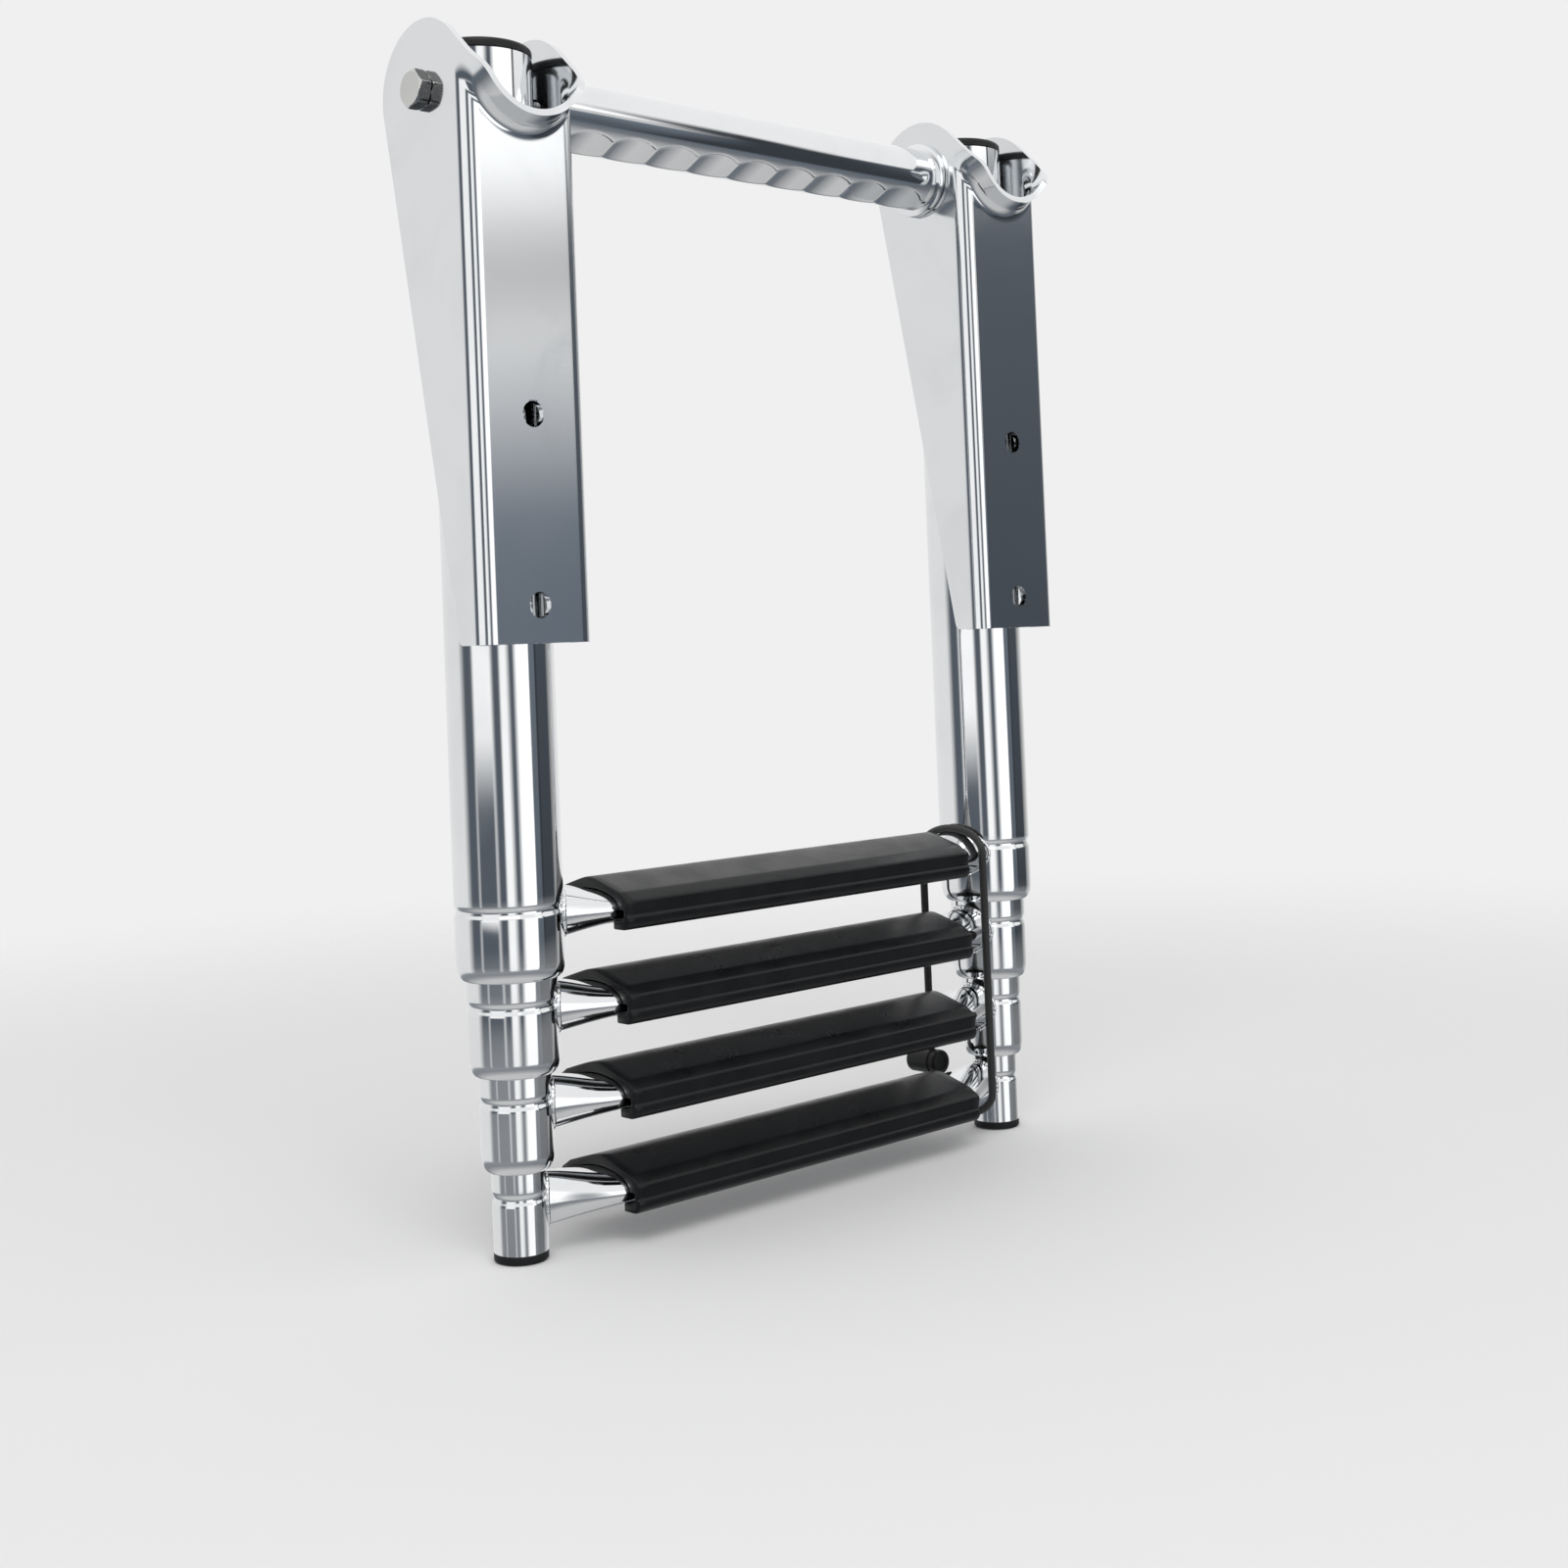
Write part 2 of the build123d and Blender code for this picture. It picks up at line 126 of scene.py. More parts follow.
def placed(points: Sequence[Sequence[float]] | np.ndarray) -> np.ndarray:
    """Moves millimetre points to the frame.

    Args:
        points: rows of x, y, z about the middle of the ladder at floor level.

    Returns:
        The same rows in metres, about the left bracket's web.
    """
    origin = np.array([SIZE.leg_x, -SIZE.web_y, -SIZE.screw_middle])
    return (np.asarray(points, float) + origin) / 1000.0


# ---------------------------------------------------------------- mesh making


def grid_faces(rows: int, columns: int, close_rows: bool = False, close_columns: bool = False) -> Faces:
    """Quads of a grid whose points are listed row by row.

    Args:
        rows: number of rows.
        columns: number of points in a row.
        close_rows: joins the last row to the first.
        close_columns: joins the last column to the first.

    Returns:
        The quads as index tuples.
    """
    faces: Faces = []
    for r in range(rows if close_rows else rows - 1):
        for c in range(columns if close_columns else columns - 1):
            r2, c2 = (r + 1) % rows, (c + 1) % columns
            faces.append((r * columns + c, r * columns + c2, r2 * columns + c2, r2 * columns + c))
    return faces


def make_piece(name: str, points: np.ndarray, faces: Faces, crease: float = 35.0) -> Piece:
    """Makes an object from millimetre points, smooth up to a crease angle.

    Args:
        name: the piece's name.
        points: rows of x, y, z in millimetres.
        faces: index tuples.
        crease: edges that bend more than this many degrees stay sharp.

    Returns:
        The new object, linked to the scene.
    """
    mesh = bpy.data.meshes.new(name)
    mesh.from_pydata([tuple(p) for p in placed(points)], [], faces)
    shell = bmesh.new()
    shell.from_mesh(mesh)
    bmesh.ops.remove_doubles(shell, verts=shell.verts, dist=1e-7)
    bmesh.ops.recalc_face_normals(shell, faces=shell.faces)
    shell.to_mesh(mesh)
    shell.free()
    mesh.shade_smooth()
    mesh.set_sharp_from_angle(angle=math.radians(crease))
    piece = bpy.data.objects.new(name, mesh)
    bpy.context.scene.collection.objects.link(piece)
    return piece


def bake(piece: Piece) -> None:
    """Applies a piece's modifiers to its mesh."""
    graph = bpy.context.evaluated_depsgraph_get()
    graph.update()
    mesh = bpy.data.meshes.new_from_object(piece.evaluated_get(graph))
    piece.modifiers.clear()
    old, piece.data = piece.data, mesh
    name = old.name
    bpy.data.meshes.remove(old)
    mesh.name = name


def settle(piece: Piece, crease: float = 35.0) -> None:
    """Applies a piece's modifiers and sets its creases again."""
    bake(piece)
    piece.data.shade_smooth()
    piece.data.set_sharp_from_angle(angle=math.radians(crease))


def level_normals(piece: Piece) -> None:
    """Keeps flat faces flat beside their rounded edges, by weighing normals by area."""
    change = piece.modifiers.new("level", "WEIGHTED_NORMAL")
    change.mode, change.weight, change.keep_sharp = "FACE_AREA", 100, True
    bake(piece)


def fit(piece: Piece, body: str, slot: str, node: str = "") -> Piece:
    """Tells the frame where a piece belongs.

    Args:
        piece: the new piece.
        body: the CAD body that it rides with.
        slot: its material slot.
        node: the CAD node that it stands in for, if any.

    Returns:
        The piece.
    """
    if node:
        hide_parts(node)
    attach(piece, body)
    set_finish(piece, slot)
    return piece


def about(axis: str, run: np.ndarray, radius: np.ndarray | float, turn: np.ndarray) -> np.ndarray:
    """Points round an axis, as rows of x, y, z."""
    a, b = radius * np.cos(turn), radius * np.sin(turn)
    return np.stack({"X": [run, a, b], "Y": [a, run, b], "Z": [a, b, run]}[axis], axis=1)


def full_turn(steps: int) -> np.ndarray:
    """Angles all the way round, without the last."""
    return np.linspace(0, 2 * math.pi, steps, endpoint=False)


def arc(middle: np.ndarray, radius: float, turns: np.ndarray) -> list[np.ndarray]:
    """Points of a plane arc."""
    return [middle + radius * np.array([math.cos(t), math.sin(t)]) for t in turns]


def lathe(name: str, profile: Sequence[Sequence[float]], centre: Sequence[float],
          axis: str = "Z", steps: int = 96, crease: float = 35.0) -> Piece:
    """Turns a closed profile round an axis.

    Args:
        name: the piece's name.
        profile: rows of (radius, place along the axis), a closed outline. A
            radius of zero closes the piece on its axis.
        centre: a point on the axis.
        axis: "X", "Y" or "Z".
        steps: how many faces go round.
        crease: sharp above this many degrees.

    Returns:
        The new object.
    """
    turn = full_turn(steps)
    rows = [about(axis, np.full(steps, along), radius, turn) for radius, along in profile]
    points = np.concatenate(rows) + np.array(centre)
    return make_piece(name, points, grid_faces(len(profile), steps, True, True), crease)


def end_faces(start: int, count: int, coped: bool) -> Faces:
    """Closes one end of a loft.

    Args:
        start: index of the end ring's first point.
        count: points in the ring.
        coped: fills the end with upright strips, which follow the round of a
            leg tube, in place of one flat face.

    Returns:
        The faces of the end.
    """
    ring = [start + i for i in range(count)]
    if not coped:
        return [tuple(ring)]
    half = count // 2
    strips = [(ring[i], ring[i + 1], ring[-i - 1], ring[-i]) for i in range(1, half - 1)]
    return [(ring[0], ring[1], ring[-1]), (ring[half - 1], ring[half], ring[half + 1]), *strips]


def loft(name: str, rings: Sequence[np.ndarray], crease: float = 35.0, coped: bool = False) -> Piece:
    """Joins rings of equal count into a closed solid.

    Args:
        name: the piece's name.
        rings: arrays of x, y, z rows, each a closed ring.
        crease: sharp above this many degrees.
        coped: whether the ends follow the round of a leg tube.

    Returns:
        The new object.
    """
    count = len(rings[0])
    faces = grid_faces(len(rings), count, close_columns=True)
    for start in (0, (len(rings) - 1) * count):
        faces += end_faces(start, count, coped)
    return make_piece(name, np.concatenate(rings), faces, crease)


def tube_along(name: str, path: np.ndarray, radius: Callable[[float], float], steps: int) -> Piece:
    """Sweeps a circle round a closed path that never runs along X.

    Args:
        name: the piece's name.
        path: rows of x, y, z.
        radius: gives the radius at a share of the path from 0 to 1.
        steps: points round the circle.

    Returns:
        The new object.
    """
    ahead = np.roll(path, -1, axis=0) - np.roll(path, 1, axis=0)
    ahead /= np.linalg.norm(ahead, axis=1)[:, None]
    first = np.cross(ahead, np.array((1.0, 0.0, 0.0)))
    first /= np.linalg.norm(first, axis=1)[:, None]
    second = np.cross(ahead, first)
    turn = full_turn(steps)
    rings = []
    for i, point in enumerate(path):
        size = radius(i / len(path))
        rings.append(point + size * (np.cos(turn)[:, None] * first[i] + np.sin(turn)[:, None] * second[i]))
    return make_piece(name, np.concatenate(rings), grid_faces(len(rings), steps, True, True))


def cut(piece: Piece, cutters: Sequence[Piece]) -> None:
    """Adds a boolean cut to a piece for each cutter."""
    for cutter in cutters:
        cutter.hide_render = True
        change = piece.modifiers.new("cut", "BOOLEAN")
        change.operation, change.solver, change.object = "DIFFERENCE", "EXACT", cutter


def drill(name: str, centre: Sequence[float], radius: float, depth: float, axis: str) -> Piece:
    """A round cutter, centred on a point, along an axis."""
    turn = full_turn(64)
    ends = (np.full(len(turn), end) for end in (-depth / 2, depth / 2))
    return loft(name, [about(axis, run, radius, turn) + np.array(centre) for run in ends])


def throw_away(pieces: Sequence[Piece]) -> None:
    """Deletes cutters once they have been used."""
    for piece in pieces:
        mesh = piece.data
        bpy.data.objects.remove(piece)
        bpy.data.meshes.remove(mesh)


def bore(piece: Piece, hole: Piece) -> None:
    """Cuts one hole through a piece for good."""
    cut(piece, [hole])
    settle(piece)
    throw_away([hole])


# ------------------------------------------------------------ sub-assemblies


@dataclass
class LegTubes:
    """The polished tubes that nest in each leg."""

    mouth_height: float = 6.0
    mouth_gap: float = 0.5
    groove_above_rung: float = 2.0
    groove_width: float = 5.0
    groove_depth: float = 0.75
    steps: int = 128

    def outline(self, section: int) -> list[tuple[float, float]]:
        """Closed outline of one tube's wall, as (radius, height) rows.

        Args:
            section: which section, 0 being the widest.

        Returns:
            The outline, up the outside and down the inside.
        """
        outer, low, high = SIZE.radii[section], SIZE.mouth_z(section), SIZE.top_z(section)
        last = section == len(SIZE.radii) - 1
        rows: list[tuple[float, float]] = []
        if last:
            rows += [(outer - 0.25, low), (outer, low + 0.25)]
        else:
            hole = SIZE.radii[section + 1] + self.mouth_gap
            rows.append((hole, low + 0.25))
            for t in np.linspace(0.12, 0.5 * math.pi, 16):
                rows.append((hole + (outer - hole) * math.sin(t), low + self.mouth_height * (1 - math.cos(t))))
        middle = SIZE.rung_z(section) + self.groove_above_rung
        for t in np.linspace(-0.5, 0.5, 17):
            dip = self.groove_depth * math.cos(math.pi * t) ** 2
            rows.append((outer - dip, middle + t * self.groove_width))
        for height in np.linspace(middle + self.groove_width, high - 0.3, 12):
            rows.append((outer, height))
        rows += [(outer - 0.3, high), (outer - SIZE.wall + 0.2, high), (outer - SIZE.wall, high - 0.3)]
        inner_low = low + 0.3 if last else low + self.mouth_height + 0.6
        rows.append((outer - SIZE.wall, inner_low))
        if last:
            rows.append((outer - SIZE.wall + 0.2, low))
        else:
            for t in np.linspace(0.5 * math.pi, 0.35, 10):
                span = outer - SIZE.wall - hole
                rows.append((hole + span * math.sin(t), low + 1.0 + (self.mouth_height - 0.4) * (1 - math.cos(t))))
        return rows

    def build(self) -> Pieces:
        """Makes the eight tubes and rides each on its section."""
        pieces = []
        for side in Side:
            for section in range(len(SIZE.radii)):
                name = f"leg_{section + 1}_{side.word}_steel"
                centre = (side.value * SIZE.leg_x, 0.0, 0.0)
                tube = lathe(name, self.outline(section), centre, steps=self.steps)
                if section == 0:
                    hole = drill("pin_hole", (centre[0], 0.0, SIZE.pivot_z), SIZE.pin_hole, 60.0, "X")
                    bore(tube, hole)
                pieces.append(fit(tube, SIZE.body(section), "leg_steel", f"leg_tube_{section + 1}_{side.word}"))
        return pieces


@dataclass
class Rungs:
    """Flattened steel rungs with fish-tail ends and weld beads."""

    flat_half: tuple[float, float] = (17.0, 6.6)
    flat_drop: float = 1.7
    root_share: float = 0.72
    root_height: float = 9.6
    root_drop: float = 1.0
    weld_radius: float = 0.9
    ripples: int = 34
    ripple_depth: float = 0.06
    sunk: float = 0.6
    steps: int = 72

    def root_half(self, section: int) -> tuple[float, float]:
        """Half width and half height of a rung at its weld."""
        return self.root_share * SIZE.radii[section], self.root_height

    def ring(self, section: int, share: float, sign: int) -> np.ndarray:
        """One ring of a rung's surface.

        Args:
            section: which section.
            share: 0 where the tread ends and 1 at the leg.
            sign: the side that the ring is on.

        Returns:
            Rows of x, y, z in millimetres.
        """
        turn = full_turn(self.steps)
        wide, high = self.root_half(section)
        swell = share * share * (3 - 2 * share)
        ease = 0.6 * share + 0.4 * swell
        a = self.flat_half[0] + ease * (wide - self.flat_half[0])
        b = self.flat_half[1] + ease * (high - self.flat_half[1])
        drop = self.flat_drop + ease * (self.root_drop - self.flat_drop)
        y, z = a * np.cos(turn), b * np.sin(turn) - drop
        leg = SIZE.leg_x - np.sqrt(SIZE.radii[section] ** 2 - (wide * np.cos(turn)) ** 2) + self.sunk
        x = SIZE.tread_half + share * (leg - SIZE.tread_half)
        return np.stack([sign * x, y, z + SIZE.rung_z(section)], axis=1)

    def build(self) -> Pieces:
        """Makes the four rungs, each with its two weld beads."""
        pieces = []
        shares = np.linspace(0, 1, 15)
        for section in range(len(SIZE.radii)):
            rings = [self.ring(section, s, -1) for s in shares[::-1]]
            rings += [self.ring(section, s, 1) for s in shares]
            rung = loft(f"rung_{section + 1}_steel", rings, crease=50.0, coped=True)
            pieces.append(fit(rung, SIZE.body(section), "rung_steel", f"rung_{section + 1}"))
            for side in Side:
                seam = self.ring(section, 1.0, side.value)
                seam[:, 0] -= side.value * (self.sunk + 0.1)
                name = f"weld_{section + 1}_{side.word}"
                bead = tube_along(name, self.smooth_ring(seam, 3), self.weld_size, steps=12)
                pieces.append(fit(bead, SIZE.body(section), "rung_steel"))
        return pieces

    def weld_size(self, share: float) -> float:
        """Radius of a weld bead at a share of its way round."""
        return self.weld_radius * (1 + self.ripple_depth * math.sin(2 * math.pi * self.ripples * share))

    @staticmethod
    def smooth_ring(ring: np.ndarray, times: int) -> np.ndarray:
        """Puts points between a closed ring's own, times to each gap."""
        count = len(ring)
        share = np.arange(count * times) / times
        low = np.floor(share).astype(int) % count
        part = (share - np.floor(share))[:, None]
        p0, p1 = ring[(low - 1) % count], ring[low]
        p2, p3 = ring[(low + 1) % count], ring[(low + 2) % count]
        return 0.5 * (2 * p1 + (p2 - p0) * part + (2 * p0 - 5 * p1 + 4 * p2 - p3) * part ** 2
                      + (3 * p1 - p0 - 3 * p2 + p3) * part ** 3)


@dataclass
class Treads:
    """Plastic covers with a ridged top, a sloping face and a hooked lip."""

    top: float = 9.1
    crown: float = 4.7
    bottom: float = 8.8
    nose: float = 22.3
    crease: float = 17.5
    lip_gap: float = 13.6
    ridge_ease: float = 0.16
    clearance: float = 0.1
    # The front face and hook, as rows of (distance behind the nose, height).
    face: Steps = (
        (0.75, 1.9), (0.25, 1.45), (0.0, 0.9), (0.08, 0.3), (0.35, -1.3), (0.62, -3.0), (0.72, -3.35),
        (0.62, -3.65), (0.25, -3.95), (0.04, -4.4), (0.0, -5.2), (0.08, -6.1), (0.5, -7.2), (1.3, -8.15),
        (2.4, -8.7))

    def half_outline(self) -> list[tuple[float, float]]:
        """Front half of the outer outline, from the ridge round the hook."""
        rows = []
        ease = self.ridge_ease
        full = math.hypot(1.0, ease) - ease
        for t in np.linspace(0.0, 1.0, 16):
            drop = (math.hypot(t * 0.985, ease) - ease) / full
            rows.append((-self.crease * t * 0.985, self.top - self.crown * drop))
        edge = self.top - self.crown
        rows += [(-self.crease - 0.15, edge - 0.08), (-self.crease - 0.9, edge - 0.65)]
        rows += [(-self.nose + back, height) for back, height in self.face]
        rows += [(-self.nose + 3.2, -self.bottom), (-self.lip_gap - 0.5, -self.bottom)]
        rows += [(-self.lip_gap + back, -self.bottom + rise) for back, rise in ((0.0, 0.4), (0.0, 2.7), (-0.4, 3.2))]
        rows += [(-self.nose + back, -self.bottom + rise) for back, rise in ((4.9, 3.4), (3.3, 4.1), (2.7, 5.2))]
        return rows + [(-self.nose + 2.7, -2.7), (-self.nose + 3.1, -1.8)]

    def outline(self) -> np.ndarray:
        """The whole closed outline, as (y, z) rows about the rung's axis."""
        half = self.half_outline()
        rung = Rungs()
        wide, high = (size + self.clearance for size in rung.flat_half)
        inner = []
        for t in np.linspace(0.5 * math.pi, math.pi, 30):
            inner.append((-wide * math.sin(t), -rung.flat_drop - high * math.cos(t)))
        front = half + inner
        back = [(-y, z) for y, z in reversed(front)]
        return np.array(front + back[1:-1])

    def build(self) -> Pieces:
        """Makes the four treads."""
        pieces = []
        outline = self.outline()
        round_ends = ((0.0, 0.45), (0.12, 0.18), (0.45, 0.0))
        for section in range(len(SIZE.radii)):
            places = [(-SIZE.tread_half + inset, shrink) for inset, shrink in round_ends]
            places += [(x, 0.0) for x in np.linspace(-SIZE.tread_half + 4, SIZE.tread_half - 4, 24)]
            places += [(SIZE.tread_half - inset, shrink) for inset, shrink in reversed(round_ends)]
            rings = [self.ring(outline, x, shrink, section) for x, shrink in places]
            tread = loft(f"tread_{section + 1}_cover", rings, crease=40.0)
            pieces.append(fit(tread, SIZE.body(section), "tread_plastic", f"tread_{section + 1}"))
        return pieces

    @staticmethod
    def ring(outline: np.ndarray, x: float, shrink: float, section: int) -> np.ndarray:
        """The outline at one place along a tread, pulled in by shrink."""
        ahead = np.roll(outline, -1, axis=0) - np.roll(outline, 1, axis=0)
        normal = np.stack([-ahead[:, 1], ahead[:, 0]], axis=1)
        normal /= np.maximum(np.linalg.norm(normal, axis=1), 1e-9)[:, None]
        area = np.sum(outline[:, 0] * np.roll(outline[:, 1], -1) - np.roll(outline[:, 0], -1) * outline[:, 1])
        pulled = outline + normal * shrink * (1 if area > 0 else -1)
        return np.stack([np.full(len(pulled), x), pulled[:, 0], pulled[:, 1] + SIZE.rung_z(section)], axis=1)


@dataclass
class Brackets:
    """Bent channels whose web flares out into a lip that cradles the leg."""

    sheet: float = 2.5
    bend: float = 6.0
    drop: float = 191.0
    ear: float = 24.5
    tail_depth: float = 14.5
    tail_round: float = 3.0
    tilt: float = math.radians(17.0)
    pipe_lift: float = 1.8
    lip_reach: float = 9.0
    lip_round: float = 8.0
    fold_round: float = 5.5
    plain_to: float = 372.0
    screw_radius: float = 4.5
    screw_pitch: float = 65.0
    edge_round: float = 0.45

    def front_edge(self) -> np.ndarray:
        """The side view's front edge, from the ear down to the lip's end.

        Returns:
            Rows of (y, z), close together.
        """
        slope = self.ear * math.sqrt(0.5)
        start = np.array([-slope, SIZE.pivot_z + slope])
        nose_y = SIZE.web_y - self.lip_reach
        corner = np.array([nose_y, start[1] - (start[0] - nose_y)])
        run = self.lip_round * math.tan(math.radians(22.5))
        a = corner + (start - corner) / np.linalg.norm(start - corner) * run
        b = corner + np.array([0.0, -run])
        centre = b + np.array([self.lip_round, 0.0])
        rows = [start + (a - start) * t for t in np.linspace(0, 1, 30)]
        rows += arc(centre, self.lip_round, np.linspace(math.radians(135), math.pi, 16)[1:])
        rows += [b + np.array([0.0, -s]) for s in np.linspace(0.5, 30, 30)]
        return np.array(rows)

    def reach(self, start: np.ndarray, edge: np.ndarray) -> np.ndarray:
        """Where a line from start, along the cradle's axis, meets the front edge."""
        aim = np.array([-math.cos(self.tilt), math.sin(self.tilt)])
        across = np.array([-aim[1], aim[0]])
        away = (edge - start) @ across
        for i in range(len(edge) - 1):
            if away[i] * away[i + 1] <= 0 and away[i] != away[i + 1]:
                t = away[i] / (away[i] - away[i + 1])
                return edge[i] + (edge[i + 1] - edge[i]) * t
        raise ValueError("the lip misses the bracket's front edge")

    def column(self, x: float, y: float, edge: np.ndarray) -> np.ndarray:
        """One line up the web, round the fold and out along the lip.

        Args:
            x: the line's place across the channel.
            y: the outer surface's place there below the fold.
            edge: the front edge's rows.

        Returns:
            Rows of x, y, z, always of the same count.
        """
        share = math.sqrt(max(0.0, 1 - (x / SIZE.channel_half) ** 2))
        low = SIZE.pivot_z - self.drop
        aim = np.array([-math.cos(self.tilt), math.sin(self.tilt)])
        down = np.array([-math.sin(self.tilt), -math.cos(self.tilt)])
        base = np.array([0.0, SIZE.pivot_z]) + down * (SIZE.channel_half * share - self.pipe_lift)
        fold = base + aim * ((base[0] - y) / math.cos(self.tilt))
        end = self.reach(fold, edge)
        turn = math.radians(90) - self.tilt
        run = self.fold_round * math.tan(turn / 2)
        first, second = fold + np.array([0.0, -run]), fold + aim * run
        centre = first + np.array([-self.fold_round, 0.0])
        rows = [np.array([y, z]) for z in np.linspace(low, self.plain_to, 26)]
        rows += [np.array([y, self.plain_to + (first[1] - self.plain_to) * t]) for t in np.linspace(0, 1, 26)[1:]]
        rows += arc(centre, self.fold_round, np.linspace(0, turn, 21)[1:])
        rows += [second + (end - second) * t for t in np.linspace(0, 1, 24)[1:]]
        return np.array([(x, p[0], p[1]) for p in rows])

    def back_edge(self, front: np.ndarray, shared: int) -> np.ndarray:
        """The side view's outline behind a cheek's front line.

        Args:
            front: rows of (y, z) up the line where the bend ends.
            shared: how many of its rows lie below the ear.

        Returns:
            As many rows of (y, z), from the tail over the ear to the front
            line's end.
        """
        low = SIZE.pivot_z - self.drop
        tail = np.array([SIZE.web_y + self.tail_depth, low])
        ear = np.array([0.0, SIZE.pivot_z])
        away = ear - tail
        reach = np.linalg.norm(away)
        lean = math.atan2(away[0], away[1]) + math.asin(self.ear / reach)
        along = np.array([math.sin(lean), math.cos(lean)])
        rear = tail + along * math.sqrt(reach ** 2 - self.ear ** 2)
        corner = self.tail_round * math.tan((math.pi / 2 - lean) / 2)
        pin = tail + np.array([-corner, self.tail_round])
        rows = arc(pin, self.tail_round, np.linspace(-math.pi / 2, -lean, 6))
        foot, knee = rows[-1], tail + along * (front[shared][1] - low) / along[1]
        rows += [foot + (knee - foot) * t for t in np.linspace(0, 1, shared - 4)[1:]]
        first = math.atan2(rear[1] - ear[1], rear[0] - ear[0])
        over = arc(ear, self.ear, np.linspace(first, math.radians(135), 160))
        slope = [over[-1] + (front[-1] - over[-1]) * t for t in np.linspace(0, 1, 40)[1:]]
        path = np.array([knee] + over + slope)
        steps = np.concatenate([[0], np.cumsum(np.linalg.norm(np.diff(path, axis=0), axis=1))])
        wanted = np.linspace(0, steps[-1], len(front) - shared)[1:]
        upper = np.stack([np.interp(wanted, steps, path[:, i]) for i in (0, 1)], axis=1)
        return np.concatenate([np.array(rows), upper])

    def surface(self) -> tuple[np.ndarray, np.ndarray]:
        """The channel's outer surface and its normals, about its own middle.

        Returns:
            Two arrays of columns, each with rows of x, y, z.
        """
        edge = self.front_edge()
        flat = SIZE.channel_half - self.bend
        stations: list[tuple[float, float]] = []
        for t in np.linspace(0.5 * math.pi, 0, 17)[:-1]:
            stations.append((-flat - self.bend * math.sin(t), SIZE.web_y + self.bend * (1 - math.cos(t))))
        stations += [(x, SIZE.web_y) for x in np.linspace(-flat, flat, 37)]
        stations += [(-x, y) for x, y in reversed(stations[:16])]
        middle = np.array([self.column(x, y, edge) for x, y in stations])
        across = np.gradient(middle, axis=0)
        upward = np.gradient(middle, axis=1)
        normal = np.cross(across, upward)
        normal /= np.linalg.norm(normal, axis=2)[:, :, None]
        normal[0], normal[-1] = (-1.0, 0.0, 0.0), (1.0, 0.0, 0.0)
        front = middle[0][:, 1:]
        back = self.back_edge(front, 26)
        shares = np.linspace(0, 1, 19)[1:]
        flank = np.array([front + (back - front) * u for u in shares])
        left = np.concatenate([np.full((*flank.shape[:2], 1), -SIZE.channel_half), flank], axis=2)[::-1]
        right = left[::-1] * np.array([-1.0, 1.0, 1.0])
        sheet = np.concatenate([left, middle, right])
        facing = np.concatenate([np.tile((-1.0, 0.0, 0.0), (*left.shape[:2], 1)), normal,
                                 np.tile((1.0, 0.0, 0.0), (*right.shape[:2], 1))])
        return sheet, facing

    def shell(self, sheet: np.ndarray, facing: np.ndarray) -> tuple[np.ndarray, Faces]:
        """Closes the outer surface with an inner one and the edge between."""
        columns, rows = sheet.shape[:2]
        points = np.concatenate([sheet.reshape(-1, 3), (sheet - facing * self.sheet).reshape(-1, 3)])
        faces = grid_faces(columns, rows)
        inner = columns * rows
        faces += [tuple(inner + i for i in reversed(face)) for face in grid_faces(columns, rows)]
        border = [c * rows for c in range(columns)] + [(columns - 1) * rows + r for r in range(1, rows)]
        border += [c * rows + rows - 1 for c in range(columns - 2, -1, -1)] + list(range(rows - 2, 0, -1))
        for i, j in zip(border, border[1:] + border[:1]):
            faces.append((i, j, inner + j, inner + i))
        return points, faces

    def build(self) -> Pieces:
        """Makes both brackets, each riding on its own body."""
        pieces = []
        points, faces = self.shell(*self.surface())
        for side in Side:
            name = f"bracket_{side.word}_channel"
            x = side.value * SIZE.leg_x
            piece = make_piece(name, points + np.array([x, 0.0, 0.0]), faces)
            middle = SIZE.screw_middle
            cutters = [drill("pin_cut", (x, 0.0, SIZE.pivot_z), SIZE.pin_hole, 80.0, "X")]
            for z in (middle - self.screw_pitch / 2, middle + self.screw_pitch / 2):
                cutters.append(drill("screw_cut", (x, SIZE.web_y, z), self.screw_radius, 20.0, "Y"))
            cut(piece, cutters)
            soft = piece.modifiers.new("edge", "BEVEL")
            soft.width, soft.segments, soft.limit_method = self.edge_round / 1000, 3, "ANGLE"
            soft.angle_limit = math.radians(50)
            settle(piece, 32.0)
            throw_away(cutters)
            level_normals(piece)
            pieces.append(fit(piece, f"bracket_{side.word}", "bracket_steel", f"bracket_{side.word}"))
        return pieces


